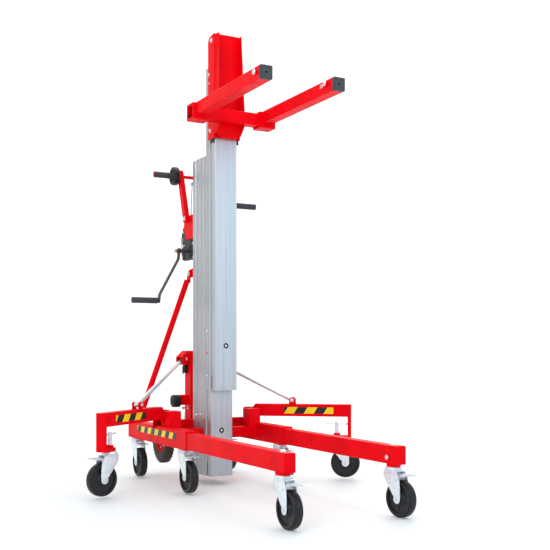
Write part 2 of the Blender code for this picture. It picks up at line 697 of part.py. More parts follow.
def add_carriage(red):
    web_rear = WEB_FRONT + PLATE
    side_inner = SKIRT_HALF + GAP
    shoulder = CARRIAGE_TOP - 0.004
    solids = [box(-SIDE_HALF, SIDE_HALF, WEB_FRONT, web_rear, CARRIAGE_BOTTOM, shoulder)]
    for side in (-1, 1):
        rear = [(WEB_FRONT, CARRIAGE_BOTTOM), (SIDE_REAR, CARRIAGE_BOTTOM), (SIDE_REAR, shoulder - 0.032),
                (SIDE_REAR - 0.004, shoulder - 0.018), (SIDE_REAR - 0.012, shoulder - 0.009),
                (SIDE_REAR - 0.050, shoulder), (WEB_FRONT, shoulder)]
        solids.append(prism(rear, *sorted((side * side_inner, side * SIDE_HALF)), "X"))
        solids.append(carriage_flange(side))
    front = [(-0.050, CARRIAGE_BOTTOM), (0.050, CARRIAGE_BOTTOM), (0.066, CARRIAGE_BOTTOM + 0.016),
             (0.066, CROSS_Z - 0.0235), (-0.066, CROSS_Z - 0.0235), (-0.066, CARRIAGE_BOTTOM + 0.016)]
    solids.append(prism(front, -0.036, -0.032, "Y"))
    solids.append(box(-0.040, 0.040, -0.034, WEB_FRONT + 0.002, CARRIAGE_BOTTOM, CARRIAGE_BOTTOM + PLATE))
    for low in (CARRIAGE_BOTTOM + 0.012, 2.020):
        solids.append(box(-0.050, 0.050, WEB_FRONT + 0.002, -GAP, low, low + 0.050))
    cross = beam(CROSS_SIZE, CROSS_SIZE, -CROSS_HALF_LONG, CROSS_HALF_LONG, "X", 0.003, (CROSS_Y, CROSS_Z))
    bore = beam(CROSS_SIZE - 0.007, CROSS_SIZE - 0.007, -CROSS_HALF_LONG - 0.01, CROSS_HALF_LONG + 0.01, "X", 0.001,
                (CROSS_Y, CROSS_Z))
    solids.append(cross)
    add("carriage", fuse(solids, [bore]), red, at(0, 0, CARRIAGE_BOTTOM), "mast_top")


def add_fork(name, side, red, grey):
    x = side * FORK_X
    fork_z = FORK_TOP - FORK_SIZE / 2
    inner = CROSS_SIZE / 2 + GAP
    outer = inner + COLLAR_WALL
    collar = beam(2 * outer, 2 * outer, x - COLLAR_HALF_LONG, x + COLLAR_HALF_LONG, "X", 0.003, (CROSS_Y, CROSS_Z))
    bore = beam(2 * inner, 2 * inner, x - 0.06, x + 0.06, "X", 0.003, (CROSS_Y, CROSS_Z))
    tip = FORK_TIP + CAP_SHEET + GAP
    tube = beam(FORK_SIZE, FORK_SIZE, tip, CROSS_Y - outer + 0.004, "Y", 0.003, (x, fork_z))
    hollow = beam(FORK_SIZE - 2 * FORK_WALL, FORK_SIZE - 2 * FORK_WALL, tip - 0.01, CROSS_Y - outer, "Y", 0.001,
                  (x, fork_z))
    pin_y, pin_z = (-0.726, 1.828) if side < 0 else (-0.703, 1.837)
    pin = disc(0.009, -0.012, 0.004, "X", (x - FORK_SIZE / 2, pin_y, pin_z), 12)
    add(name, fuse([collar, tube, pin], [bore, hollow]), red, at(x, CROSS_Y, CROSS_Z), "carriage")
    plate = beam(FORK_SIZE, FORK_SIZE, FORK_TIP, FORK_TIP + CAP_SHEET, "Y", 0.003, (x, fork_z))
    plug_size = FORK_SIZE - 2 * FORK_WALL - 2 * GAP
    plug = beam(plug_size, plug_size, FORK_TIP + 0.004, FORK_TIP + CAP_SHEET + 0.014, "Y", 0.0015, (x, fork_z))
    hole = disc(0.0045, FORK_TIP - 0.01, FORK_TIP + 0.05, "Y", (x, 0, fork_z), 12)
    add(name + "_cap", fuse([plate, plug], [hole]), grey, at(x, FORK_TIP, fork_z), name)


def add_winch_frame(red):
    """Back plate, winch cheeks, brace lugs, handle arms and the rod that carries the loading wheels."""
    back = BASE_REAR + GAP
    solids = [
        box(-0.030, 0.030, back, back + 0.005, 1.050, 1.390),
        box(-0.057, 0.057, back, back + 0.005, 1.258, 1.381),
        box(-0.046, 0.046, back, back + 0.005, 1.050, 1.108),
        disc(ROD_RADIUS, -HANDLE_GRIP_TO + 0.004, HANDLE_GRIP_TO - 0.004, "X", (0, ROD_Y, ROD_Z), 16),
    ]
    for side in (-1, 1):
        cheek = [(back, 1.258), (0.372, 1.258), (0.400, 1.330), (0.392, 1.381), (back, 1.381)]
        solids.append(prism(cheek, *sorted((side * 0.053, side * 0.057)), "X"))
        lug = [(back, 1.056), (0.360, 1.058), (0.372, 1.068), (0.374, 1.084), (0.362, 1.098), (0.310, 1.106),
               (back, 1.106)]
        solids.append(prism(lug, *sorted((side * 0.036, side * 0.042)), "X"))
        arm = [(0.324, 1.350), (0.360, 1.346), (0.446, 1.620), (0.438, 1.633), (0.422, 1.633), (0.413, 1.622)]
        solids.append(prism(arm, *sorted((side * 0.0535, side * (0.0535 + HANDLE_ARM_WIDE))), "X"))
    add("winch_frame", fuse(solids), red, at(0, back, 1.05), "mast_base")


def add_winch(black, zinc, dark, grip_grey):
    base = BASE_REAR + GAP + 0.005 + GAP
    bore = disc(0.0085 + GAP, -0.08, 0.08, "X", (0, CRANK_Y, CRANK_Z), 16)
    axle_hole = disc(0.0075 + GAP, -0.045, 0.08, "X", (0, DRUM_Y, DRUM_Z), 16)
    left = prism([(base, 1.150), (0.412, 1.150), (0.430, 1.156), (0.445, 1.172), (0.449, 1.275), (base, 1.300)],
                 -0.051, -0.036, "X")
    dome = turned([(0, -0.052), (COVER_RADIUS - 0.010, -0.052), (COVER_RADIUS, -0.046), (COVER_RADIUS, -0.036),
                   (0, -0.036)], "X", (0, DRUM_Y, DRUM_Z), 24)
    right = prism([(base, 1.147), (0.345, 1.147), (0.398, 1.170), (0.402, 1.290), (0.372, 1.312), (0.330, 1.312),
                   (base, 1.300)], 0.040, 0.050, "X")
    plate = box(-0.051, 0.050, base, base + 0.008, 1.147, 1.300)
    add("winch_cover", fuse([left, dome, right, plate], [bore, axle_hole]), black, at(0, base, 1.147), "mast_base")

    drum = [(0, -0.041), (0.0075, -0.041), (0.0075, -0.033), (FLANGE_RADIUS, -0.033), (FLANGE_RADIUS, -0.029),
            (HUB_RADIUS, -0.029), (HUB_RADIUS, 0.031), (FLANGE_RADIUS, 0.031), (FLANGE_RADIUS, 0.035),
            (0.0075, 0.035), (0.0075, 0.052), (0, 0.052)]
    add("winch_drum", turned(drum, "X", (0, DRUM_Y, DRUM_Z), 24), zinc, at(0, DRUM_Y, DRUM_Z), "winch_cover")

    crank = at(0, CRANK_Y, CRANK_Z)
    solids = [disc(0.0085, -0.112, 0.112, "X", (0, CRANK_Y, CRANK_Z), 16)]
    for side in (-1, 1):
        solids.append(crank_arm(side))
        ends = sorted((side * 0.206, side * (GRIP_TO - 0.004)))
        solids.append(disc(0.0060, *ends, "X", (0, CRANK_Y, CRANK_Z + side * GRIP_REACH), 12))
        ends = sorted((side * 0.088, side * 0.103))
        solids.append(disc(0.014, *ends, "X", (0, CRANK_Y, CRANK_Z), 12))
    add("crank", fuse(solids), dark, crank, "winch_cover")
    for word, side in (("left", -1), ("right", 1)):
        centre = (0, CRANK_Y, CRANK_Z + side * GRIP_REACH)
        grip = grip_ring(side, GRIP_FROM, GRIP_TO, 0.0060 + GAP, centre)
        add("crank_grip_" + word, grip, grip_grey, at(side * GRIP_FROM, *centre[1:]), "crank")


def grip_ring(side, start, end, bore, centre):
    """A round hand grip with a swollen middle and a hole along it."""
    r = GRIP_RADIUS
    profile = [(bore, start), (r - 0.003, start), (r - 0.001, start + 0.006), (r, (start + end) / 2),
               (r - 0.001, end - 0.006), (r - 0.004, end), (bore, end)]
    if side < 0:
        profile = [(radius, -along) for radius, along in profile]
    return turned(profile, "X", centre, 16)


def crank_arm(side):
    """A flat bar bent twice, so that the grip stands clear of the mast; right arm up, left arm down."""
    half = 0.0045
    points = [Vector(p) for p in CRANK_PATH]
    points[0] = points[0] - Vector((0, 0.014))
    left, right = [], []
    for n, point in enumerate(points):
        ahead = (points[min(n + 1, len(points) - 1)] - point) if n < len(points) - 1 else (point - points[n - 1])
        behind = (point - points[n - 1]) if n else ahead
        direction = (ahead.normalized() + behind.normalized()).normalized()
        normal = Vector((-direction.y, direction.x)) * half
        left.append(point + normal)
        right.append(point - normal)
    outline = [(side * p.x, CRANK_Z + side * p.y) for p in left + right[::-1]]
    return prism(outline, CRANK_Y - 0.0115, CRANK_Y + 0.0115, "Y")


def wheel_ring(radius, wide, bore, hub, centre_x, y, z, edge, segments):
    half = wide / 2
    rim = [(bore, half), (hub + 0.003, half - 0.006), (radius * 0.66, half - 0.006), (radius - edge, half),
           (radius, half - edge)]
    profile = rim + [(r, -along) for r, along in reversed(rim)]
    return turned(profile, "X", (centre_x, y, z), segments)


def add_wheels(rubber, black, grip_grey):
    for word, side in (("left", -1), ("right", 1)):
        x = side * TRANSPORT_X
        mesh = wheel_ring(TRANSPORT_RADIUS, TRANSPORT_WIDE, AXLE_ROD_RADIUS + GAP, 0.020, x, TRANSPORT_Y, TRANSPORT_Z, 0.016, 24)
        add("transport_wheel_" + word, mesh, rubber, at(x, TRANSPORT_Y, TRANSPORT_Z), "chassis")
        x = side * LOADING_WHEEL_X
        mesh = wheel_ring(LOADING_WHEEL_RADIUS, LOADING_WHEEL_WIDE, ROD_RADIUS + GAP, 0.014, x, ROD_Y, ROD_Z, 0.004, 16)
        add("loading_wheel_" + word, mesh, black, at(x, ROD_Y, ROD_Z), "winch_frame")
        x = side * (ROLLER_FROM + ROLLER_TO) / 2
        half = (ROLLER_TO - ROLLER_FROM) / 2
        bore = 0.006 + GAP
        ring = [(bore, -half), (ROLLER_RADIUS - 0.006, -half), (ROLLER_RADIUS, -half + 0.006),
                (ROLLER_RADIUS, half - 0.006), (ROLLER_RADIUS - 0.006, half), (bore, half)]
        mesh = turned(ring, "X", (x, ROLLER_Y, ROLLER_Z), 20)
        add("roller_" + word, mesh, black, at(x, ROLLER_Y, ROLLER_Z), "chassis")
        grip = grip_ring(side, HANDLE_GRIP_FROM, HANDLE_GRIP_TO, ROD_RADIUS + GAP, (0, ROD_Y, ROD_Z))
        add("handle_grip_" + word, grip, grip_grey, at(side * HANDLE_GRIP_FROM, ROD_Y, ROD_Z), "winch_frame")


def add_brace(name, side, red):
    """A slanting tube with a flat tab at each end."""
    foot = Vector((side * BRACE_FOOT[0], *BRACE_FOOT[1:]))
    head = Vector((side * BRACE_HEAD[0], *BRACE_HEAD[1:]))
    along = (head - foot).normalized()
    solids = [rod(foot + along * 0.018, head - along * 0.034, BRACE_RADIUS, 14)]
    tab = [(0.345, 1.030), (0.384, 1.030), (0.373, 1.084), (0.362, 1.094), (0.346, 1.096), (0.336, 1.086)]
    solids.append(prism(tab, *sorted((side * 0.0424, side * 0.0484)), "X"))
    solids.append(box(side * 0.2553, side * 0.2613, 0.506, 0.541, SLEEVE_TOP + GAP, 0.350))
    add(name, fuse(solids), red, Matrix.Translation(foot), "chassis")


def add_cable(steel):
    top = (CABLE_CLIP_X, CABLE_CLIP_Y, CABLE_CLIP_Z - GAP - CABLE_RADIUS / 3)
    bottom = (-0.0175, DRUM_Y + HUB_RADIUS + CABLE_RADIUS + 0.0016, DRUM_Z + 0.005)
    add("lift_cable", as_mesh(rod(top, bottom, CABLE_RADIUS, 10)), steel, Matrix.Translation(top), "mast_base")


def main():
    clear_scene()
    red = make_material("red_paint", (0.72, 0.004, 0.006), 0.32, 0.0)
    aluminium = make_material("anodised_aluminium", (0.72, 0.74, 0.77), 0.38, 1.0)
    zinc = make_material("zinc_plate", (0.74, 0.76, 0.78), 0.34, 1.0)
    steel = make_material("bright_steel", (0.55, 0.55, 0.55), 0.40, 1.0)
    rubber = make_material("black_rubber", (0.018, 0.018, 0.019), 0.62, 0.0)
    black = make_material("black_plastic", (0.022, 0.022, 0.024), 0.42, 0.0)
    grey = make_material("grey_plastic", (0.075, 0.078, 0.082), 0.55, 0.0)
    dark = make_material("dark_steel", (0.055, 0.057, 0.060), 0.45, 0.6)
    pedal_grey = make_material("pedal_grey", (0.62, 0.65, 0.68), 0.42, 0.8)

    add_root()
    add_chassis(red)
    add_leg("leg_left", -1, red)
    add_leg("leg_right", 1, red)
    add_outrigger("left", -1, red, zinc, aluminium)
    add_outrigger("right", 1, red, zinc, aluminium)
    add_stay_head(red)
    add_casters(zinc, rubber, pedal_grey)
    add_mast(aluminium)
    add_carriage(red)
    add_fork("fork_left", -1, red, grey)
    add_fork("fork_right", 1, red, grey)
    add_winch_frame(red)
    add_winch(black, zinc, dark, grey)
    add_wheels(rubber, black, grey)
    add_brace("brace_left", -1, red)
    add_brace("brace_right", 1, red)
    add_cable(steel)


main()
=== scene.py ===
"""Looks for the material lift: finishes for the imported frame, and the small pieces that ride on it."""

import json
from math import cos, hypot, pi, radians, sin

import bmesh
import bpy
from mathutils import Matrix, Vector


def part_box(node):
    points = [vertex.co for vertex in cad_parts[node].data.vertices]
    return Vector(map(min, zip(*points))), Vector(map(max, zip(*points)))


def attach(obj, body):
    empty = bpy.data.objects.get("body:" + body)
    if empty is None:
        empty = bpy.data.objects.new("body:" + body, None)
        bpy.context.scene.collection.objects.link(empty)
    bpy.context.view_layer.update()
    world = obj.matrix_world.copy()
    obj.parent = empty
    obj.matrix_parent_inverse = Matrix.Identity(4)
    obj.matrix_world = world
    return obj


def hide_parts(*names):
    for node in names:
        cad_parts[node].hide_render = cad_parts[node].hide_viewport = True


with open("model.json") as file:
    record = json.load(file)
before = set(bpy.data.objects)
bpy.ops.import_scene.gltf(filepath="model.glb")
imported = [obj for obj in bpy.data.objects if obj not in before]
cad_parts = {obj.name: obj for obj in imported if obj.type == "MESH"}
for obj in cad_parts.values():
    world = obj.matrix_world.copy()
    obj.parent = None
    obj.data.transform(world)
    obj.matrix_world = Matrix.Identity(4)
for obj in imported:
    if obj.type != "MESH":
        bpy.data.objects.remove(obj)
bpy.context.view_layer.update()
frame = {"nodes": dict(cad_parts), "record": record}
nodes = frame["nodes"]

# Lengths are metres and yaws are degrees. Points are written from the mast: Y = 0 is the front of its top
# section, X = 0 its middle. A pair such as DRUM is (y, z).
mast_low, mast_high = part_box("mast_top")
MAST_X = (mast_low.x + mast_high.x) / 2
MAST_Y = mast_low.y
SIDES = (("left", -1), ("right", 1))
SMOOTH_BELOW = radians(38)  # edges flatter than this are shaded smooth
ACROSS = Matrix.Rotation(radians(90), 4, "Y")  # lays a round's own Z axis along X

CAMERA_PLACE = (-1.941, -4.066, 0.68)
CAMERA_YAW = -28.79
CAMERA_LENS = 59.413  # millimetres, as the sensor's width is
CAMERA_SENSOR = 36
CAMERA_SHIFT = (-0.00527, 0.13493)
CAMERA_LOOK = (0.48, 0.876, 0)  # the way the camera looks, level

WORLD_STRENGTH = 1.2
WORLD_STOPS = (  # from behind the camera to the backdrop
    (0.0, (0.64, 0.735, 0.835)), (0.42, (0.585, 0.68, 0.78)), (0.72, (1.0, 0.91, 0.83)), (0.93, (1, 1, 1)))
LIGHTS = (  # name, place, target, size, power and, where it isn't white, colour
    ("key_left", (-3.4, -2.6, 3.2), (0, 0.1, 1.0), (2.2, 2.2), 60),
    ("front_fill", (1.6, -4.2, 2.2), (0, 0, 0.9), (3.0, 2.4), 34, (0.66, 0.83, 1.0)),
    ("overhead", (0.4, 0.6, 4.6), (0, 0.1, 0.5), (3.2, 3.2), 60),
    ("back_right", (3.2, 2.8, 2.6), (0, 0.2, 1.0), (2.4, 2.4), 30),
)
FLOOR_HALF = 14
FLOOR_DROP = 0.0004  # keeps the floor clear of the tyres' lowest faces
FLOOR_FADE = (1.0, 3.2)  # distances between which the floor's painted shade round the lift fades to paler
FLOOR_FAR = (0.985, 0.985, 0.985)
FLOOR_GLOW = 0.11

LEG_X = 0.2573
WHEEL_RADIUS = 0.076
TRAIL = 0.044  # from the swivel axis to the caster's axle
PEDAL_HINGE = (0, -0.026, 0.168)
FRONT_CASTER_Y = -1.047
MIDDLE_CASTER_Y = -0.090
REAR_CASTER_Y = 0.560
SLEEVE_CASTER_LIFT = 0.0053
OUTRIGGER_CASTER_LIFT = 0.012

SPLAY_DEGREES = 37.9
SPLAY = radians(SPLAY_DEGREES)
ARM_START_X = 0.2429
ARM_START_Y = 0.205
ARM_DEEP = 0.0465
SCREW_ALONG = 0.528 - 0.0745  # along the arm: its length less the screw's place from its end

SIDE_FACE = 0.0715  # outer face of the carriage's side plates
SKIRT_FACE = 0.0658  # just inside the mast skirts' outer faces
FORK_X = 0.1785
FORK_HALF = 0.0290
FORK_Z = 1.825
CAP_Y = -0.7600

TRANSPORT_AXLE = (0.557, 0.186)
LOADING_AXLE = (0.430, 1.600)
ROLLER_AXLE = (0.420, 0.405)
LOCK_PIN = (0.384, 0.3705)
CRANK = (0.373, 1.197)
CRANK_REACH = 0.264
DRUM = (0.368, 1.275)
COVER_FACE = -0.0518


def at(x=0.0, y=0.0, z=0.0, yaw=0.0):
    return Matrix.Translation((x + MAST_X, y + MAST_Y, z)) @ Matrix.Rotation(radians(yaw), 4, "Z")


# Camera, light and floor


def new_object(name, data):
    obj = bpy.data.objects.new(name, data)
    bpy.context.scene.collection.objects.link(obj)
    return obj


def aim(obj, target):
    obj.rotation_euler = (Vector(target) - obj.location).to_track_quat("-Z", "Y").to_euler()


def add_camera():
    camera = new_object("camera", bpy.data.cameras.new("camera"))
    x, y, z = CAMERA_PLACE
    camera.location = (x + MAST_X, y + MAST_Y, z)
    camera.rotation_euler = (radians(90), 0, radians(CAMERA_YAW))
    camera.data.sensor_width = CAMERA_SENSOR
    camera.data.lens = CAMERA_LENS
    camera.data.shift_x, camera.data.shift_y = CAMERA_SHIFT
    bpy.context.scene.camera = camera


def add_light(name, place, target, size, power, colour=(1, 1, 1)):
    data = bpy.data.lights.new(name, "AREA")
    data.shape = "RECTANGLE"
    data.size, data.size_y = size
    data.energy = power
    data.color = colour
    light = new_object(name, data)
    light.location = place
    aim(light, target)


def fill_ramp(ramp, stops):
    """Gives a new colour ramp its stops. It has two to begin with."""
    for _ in range(len(stops) - 2):
        ramp.elements.new(0.5)
    for element, (place, colour) in zip(ramp.elements, stops):
        element.position = place
        element.color = (*colour, 1)


def add_world():
    """Soft light all round, cool from the camera's side and white from the backdrop's."""
    world = bpy.data.worlds.new("studio")
    bpy.context.scene.world = world
    world.use_nodes = True
    tree = world.node_tree
    background = tree.nodes["Background"]
    sky = tree.nodes.new("ShaderNodeTexCoord")
    across = tree.nodes.new("ShaderNodeVectorMath")
    across.operation = "DOT_PRODUCT"
    across.inputs[1].default_value = CAMERA_LOOK
    tree.links.new(sky.outputs["Generated"], across.inputs[0])
    scale = tree.nodes.new("ShaderNodeMapRange")
    scale.inputs["From Min"].default_value = -1
    scale.inputs["From Max"].default_value = 1
    tree.links.new(across.outputs["Value"], scale.inputs["Value"])
    ramp = tree.nodes.new("ShaderNodeValToRGB")
    fill_ramp(ramp.color_ramp, WORLD_STOPS)
    tree.links.new(scale.outputs["Result"], ramp.inputs["Fac"])
    tree.links.new(ramp.outputs["Color"], background.inputs["Color"])
    background.inputs["Strength"].default_value = WORLD_STRENGTH


def add_floor():
    mesh = bpy.data.meshes.new("floor")
    corners = [(x * FLOOR_HALF, y * FLOOR_HALF, 0) for x, y in ((-1, -1), (1, -1), (1, 1), (-1, 1))]
    mesh.from_pydata(corners, [], [(0, 1, 2, 3)])
    floor = new_object("floor", mesh)
    floor.location = (0, 0, -FLOOR_DROP)
    floor.data.materials.append(floor_finish())


def add_studio():
    add_world()
    bpy.context.scene.view_settings.view_transform = "Standard"
    for light in LIGHTS:
        add_light(*light)
    add_floor()


# Finishes


class Nodes:
    """Short calls for one material's node tree."""

    def __init__(self, name):
        self.material = bpy.data.materials.new(name)
        self.material.use_nodes = True
        self.tree = self.material.node_tree
        self.shader = self.tree.nodes["Principled BSDF"]
        self.place = self.make("ShaderNodeTexCoord").outputs["Object"]

    def make(self, kind, **values):
        made = self.tree.nodes.new(kind)
        for key, value in values.items():
            if key in made.inputs:
                made.inputs[key].default_value = value
            else:
                setattr(made, key, value)
        return made

    def link(self, source, target):
        self.tree.links.new(source, target)

    def noise(self, scale, detail=2.0, stretch=None, rough=0.5):
        made = self.make("ShaderNodeTexNoise", Scale=scale, Detail=detail, Roughness=rough)
        if stretch:
            mapping = self.make("ShaderNodeMapping", Scale=stretch)
            self.link(self.place, mapping.inputs["Vector"])
            self.link(mapping.outputs["Vector"], made.inputs["Vector"])
        else:
            self.link(self.place, made.inputs["Vector"])
        return made.outputs["Fac"]

    def spread(self, source, low, high, from_low=0.3, from_high=0.7):
        made = self.make("ShaderNodeMapRange")
        made.inputs["From Min"].default_value = from_low
        made.inputs["From Max"].default_value = from_high
        made.inputs["To Min"].default_value = low
        made.inputs["To Max"].default_value = high
        self.link(source, made.inputs["Value"])
        return made.outputs["Result"]

    def ramp(self, source, stops):
        made = self.make("ShaderNodeValToRGB")
        fill_ramp(made.color_ramp, stops)
        self.link(source, made.inputs["Fac"])
        return made.outputs["Color"]

    def mix(self, factor, first, second):
        made = self.make("ShaderNodeMix", data_type="RGBA")
        self.link(factor, made.inputs[0])
        for socket, value in ((made.inputs[6], first), (made.inputs[7], second)):
            if isinstance(value, tuple):
                socket.default_value = (*value, 1)
            else:
                self.link(value, socket)
        return made.outputs[2]

    def bump(self, height, strength, distance=0.001, after=None):
        made = self.make("ShaderNodeBump", Strength=strength, Distance=distance)
        self.link(height, made.inputs["Height"])
        if after is not None:
            self.link(after, made.inputs["Normal"])
        return made.outputs["Normal"]

    def finish(self, colour, roughness, normal=None, metallic=0.0, **others):
        for source, name in ((colour, "Base Color"), (roughness, "Roughness")):
            if isinstance(source, float):
                self.shader.inputs[name].default_value = source
            else:
                self.link(source, self.shader.inputs[name])
        if normal is not None:
            self.link(normal, self.shader.inputs["Normal"])
        self.shader.inputs["Metallic"].default_value = metallic
        for name, value in others.items():
            self.shader.inputs[name.replace("_", " ")].default_value = value
        return self.material


def tint(colour, factor):
    return tuple(min(1.0, c * factor) for c in colour)


def tint_scale(scale, factor):
    return tuple(s * factor for s in scale)


def floor_finish():
    """Pale studio floor with painted shade: darker and a little cyan round the lift, against the red light the lift
    bounces onto it, and fading into the backdrop.
    """
    n = Nodes("floor_finish")
    # Painted shade: the floor is darker and cyan-tinted round the lift, standing in for its soft shadow and cancelling
    # the red light it bounces
    painted_shade_near = n.ramp(n.noise(0.8), [(0.3, (0.686, 0.722, 0.712)), (0.7, (0.696, 0.732, 0.722))])
    reach = n.make("ShaderNodeVectorMath", operation="LENGTH")
    n.link(n.place, reach.inputs[0])
    colour = n.mix(n.spread(reach.outputs["Value"], 0.0, 1.0, *FLOOR_FADE), painted_shade_near, FLOOR_FAR)
    return n.finish(colour, n.spread(n.noise(5.0), 0.55, 0.65), n.bump(n.noise(60.0, 3), 0.02),
                    Emission_Color=(1, 1, 1, 1), Emission_Strength=FLOOR_GLOW)


def powder_coat(name, colour, gloss=0.38, shine=0.30):
    """Sprayed and baked paint: a slight mottle, orange peel and fine dust nibs."""
    n = Nodes(name)
    mottle = n.ramp(n.noise(7.0, 4), [(0.32, tint(colour, 0.88)), (0.68, tint(colour, 1.08))])
    specks = n.spread(n.noise(420.0, 2), 0.0, 0.18, 0.66, 0.74)
    base = n.mix(specks, mottle, tint(colour, 0.80))
    rough = n.spread(n.noise(28.0, 3), gloss - 0.05, gloss + 0.07)
    peel = n.bump(n.noise(520.0, 2), 0.05, 0.0006)
    ripple = n.bump(n.noise(90.0, 2), 0.04, 0.001, peel)
    return n.finish(base, rough, ripple, 0.0, Specular_IOR_Level=shine)


def extruded_aluminium(name, colour, along=(60.0, 60.0, 0.6)):
    """Anodised extrusion with fine die lines along its length and cloudy handling marks."""
    n = Nodes(name)
    lines = n.noise(9.0, 5, along, 0.65)
    bands = n.noise(9.0, 2, tint_scale(along, 0.22), 0.5)
    clouds = n.noise(3.2, 4)
    fine_streaks = n.ramp(lines, [(0.30, tint(colour, 0.92)), (0.70, tint(colour, 1.05))])
    streaks = n.mix(n.spread(bands, 0.0, 0.55, 0.40, 0.64), fine_streaks, tint(colour, 0.74))
    base = n.mix(n.spread(clouds, 0.0, 0.30), streaks, tint(colour, 0.84))
    rough = n.spread(lines, 0.34, 0.46)
    fine = n.bump(n.noise(30.0, 3, along, 0.7), 0.05, 0.0006)
    return n.finish(base, rough, fine, 0.82)


def zinc_finish(name, colour, spangle=90.0, rough=0.34, metallic=0.9):
    """Galvanised or zinc-plated steel with a faint crystal spangle."""
    n = Nodes(name)
    cells = n.make("ShaderNodeTexVoronoi", Scale=spangle)
    n.link(n.place, cells.inputs["Vector"])
    tone = n.ramp(cells.outputs["Color"], [(0.15, tint(colour, 0.84)), (0.85, tint(colour, 1.05))])
    base = n.mix(n.spread(n.noise(22.0, 4), 0.0, 0.35), tone, tint(colour, 0.74))
    worn = n.spread(n.noise(45.0, 3), rough - 0.06, rough + 0.10)
    return n.finish(base, worn, n.bump(n.noise(260.0, 3), 0.05), metallic)


def rubber_finish(name, colour, rough=0.62, grain=700.0):
    """Rubber with a fine grain and a film of dust."""
    n = Nodes(name)
    dust = n.spread(n.noise(16.0, 5), 0.0, 0.40, 0.45, 0.78)
    base = n.mix(dust, colour, tint(colour, 2.6))
    worn = n.spread(n.noise(60.0, 3), rough - 0.10, rough + 0.08)
    return n.finish(base, worn, n.bump(n.noise(grain, 3), 0.12, 0.0006), Specular_IOR_Level=0.30)


def plastic_finish(name, colour, rough=0.48, grain=900.0):
    """Moulded plastic with a fine spark-eroded grain."""
    n = Nodes(name)
    base = n.ramp(n.noise(30.0, 4), [(0.3, tint(colour, 0.86)), (0.7, tint(colour, 1.16))])
    worn = n.spread(n.noise(80.0, 2), rough - 0.06, rough + 0.08)
    return n.finish(base, worn, n.bump(n.noise(grain, 3), 0.14, 0.0005), Specular_IOR_Level=0.28)


def steel_finish(name, colour, rough=0.26):
    """Turned or drawn bright steel."""
    n = Nodes(name)
    base = n.ramp(n.noise(160.0, 3), [(0.3, tint(colour, 0.88)), (0.7, tint(colour, 1.05))])
    worn = n.spread(n.noise(240.0, 3), rough - 0.06, rough + 0.10)
    return n.finish(base, worn, n.bump(n.noise(600.0, 2), 0.04), 1.0)


RED = powder_coat("finish_red", (0.80, 0.0002, 0.0050), 0.42, 0.05)
ALUMINIUM = extruded_aluminium("finish_aluminium", (0.50, 0.52, 0.54))
TUBE_ALUMINIUM = extruded_aluminium("finish_tube", (0.80, 0.81, 0.82), (40.0, 40.0, 40.0))
ZINC = zinc_finish("finish_zinc", (0.80, 0.87, 0.89), metallic=0.45)
PEDAL = zinc_finish("finish_pedal", (0.60, 0.66, 0.72), 60.0, 0.40, 0.35)
CHROME = steel_finish("finish_bright", (0.78, 0.78, 0.78))
CABLE = steel_finish("finish_cable", (0.42, 0.42, 0.42), 0.40)
BRASS = steel_finish("finish_passivated", (0.72, 0.52, 0.24), 0.30)
RUBBER = rubber_finish("finish_rubber", (0.0075, 0.0075, 0.0080), 0.40)
SIDEWALL = rubber_finish("finish_sidewall", (0.060, 0.052, 0.046), 0.72)
BLACK = plastic_finish("finish_black", (0.018, 0.018, 0.020))
GREY = plastic_finish("finish_grey", (0.052, 0.055, 0.060), 0.55)
DARK_STEEL = powder_coat("finish_dark_steel", (0.050, 0.052, 0.056), 0.40)
YELLOW = powder_coat("finish_yellow", (0.90, 0.62, 0.010), 0.42)
STRIPE_BLACK = powder_coat("finish_stripe_black", (0.016, 0.015, 0.014), 0.42)
GRIP_RED = plastic_finish("finish_grip_collar", (0.10, 0.018, 0.022), 0.50)
PALE = plastic_finish("finish_pale", (0.80, 0.80, 0.78), 0.45)

FINISH_OF = {
    "red_paint": RED,
    "anodised_aluminium": ALUMINIUM,
    "zinc_plate": ZINC,
    "bright_steel": CABLE,
    "black_rubber": RUBBER,
    "black_plastic": BLACK,
    "grey_plastic": GREY,
    "dark_steel": DARK_STEEL,
    "pedal_grey": PEDAL,
}


def dress_nodes():
    """Gives every solid of the frame its finish. The stays are bare tube."""
    for part in frame["record"]["subparts"]:
        finish = FINISH_OF[part["material_slot"]]
        if part["node"] in ("stay_left", "stay_right"):
            finish = TUBE_ALUMINIUM
        for slot in nodes[part["node"]].material_slots:
            slot.material = finish


# Shapes


def place_all(shape, matrix):
    bmesh.ops.transform(shape, matrix=matrix, verts=shape.verts)
    return shape


def merge(target, source, matrix=None):
    """Adds one shape to another, keeping its material numbers."""
    if matrix is not None:
        place_all(source, matrix)
    mesh = bpy.data.meshes.new("part")
    source.to_mesh(mesh)
    source.free()
    target.from_mesh(mesh)
    bpy.data.meshes.remove(mesh)
    return target


def lathe(profile, segments=48, closed=False, material=0):
    """A (radius, height) profile turned about Z."""
    shape = bmesh.new()
    rings = []
    for radius, height in profile:
        count = 1 if radius < 1e-6 else segments
        ring = []
        for k in range(count):
            angle = 2 * pi * k / segments
            ring.append(shape.verts.new((radius * cos(angle), radius * sin(angle), height)))
        rings.append(ring)
    pairs = list(zip(rings, rings[1:]))
    if closed:
        pairs.append((rings[-1], rings[0]))
    for low, high in pairs:
        for k in range(segments):
            j = (k + 1) % segments
            corners = [low[k % len(low)], low[j % len(low)], high[j % len(high)], high[k % len(high)]]
            unique = [v for i, v in enumerate(corners) if v not in corners[:i]]
            if len(unique) > 2:
                face = shape.faces.new(unique)
                face.material_index = material
    bmesh.ops.recalc_face_normals(shape, faces=shape.faces)
    return shape


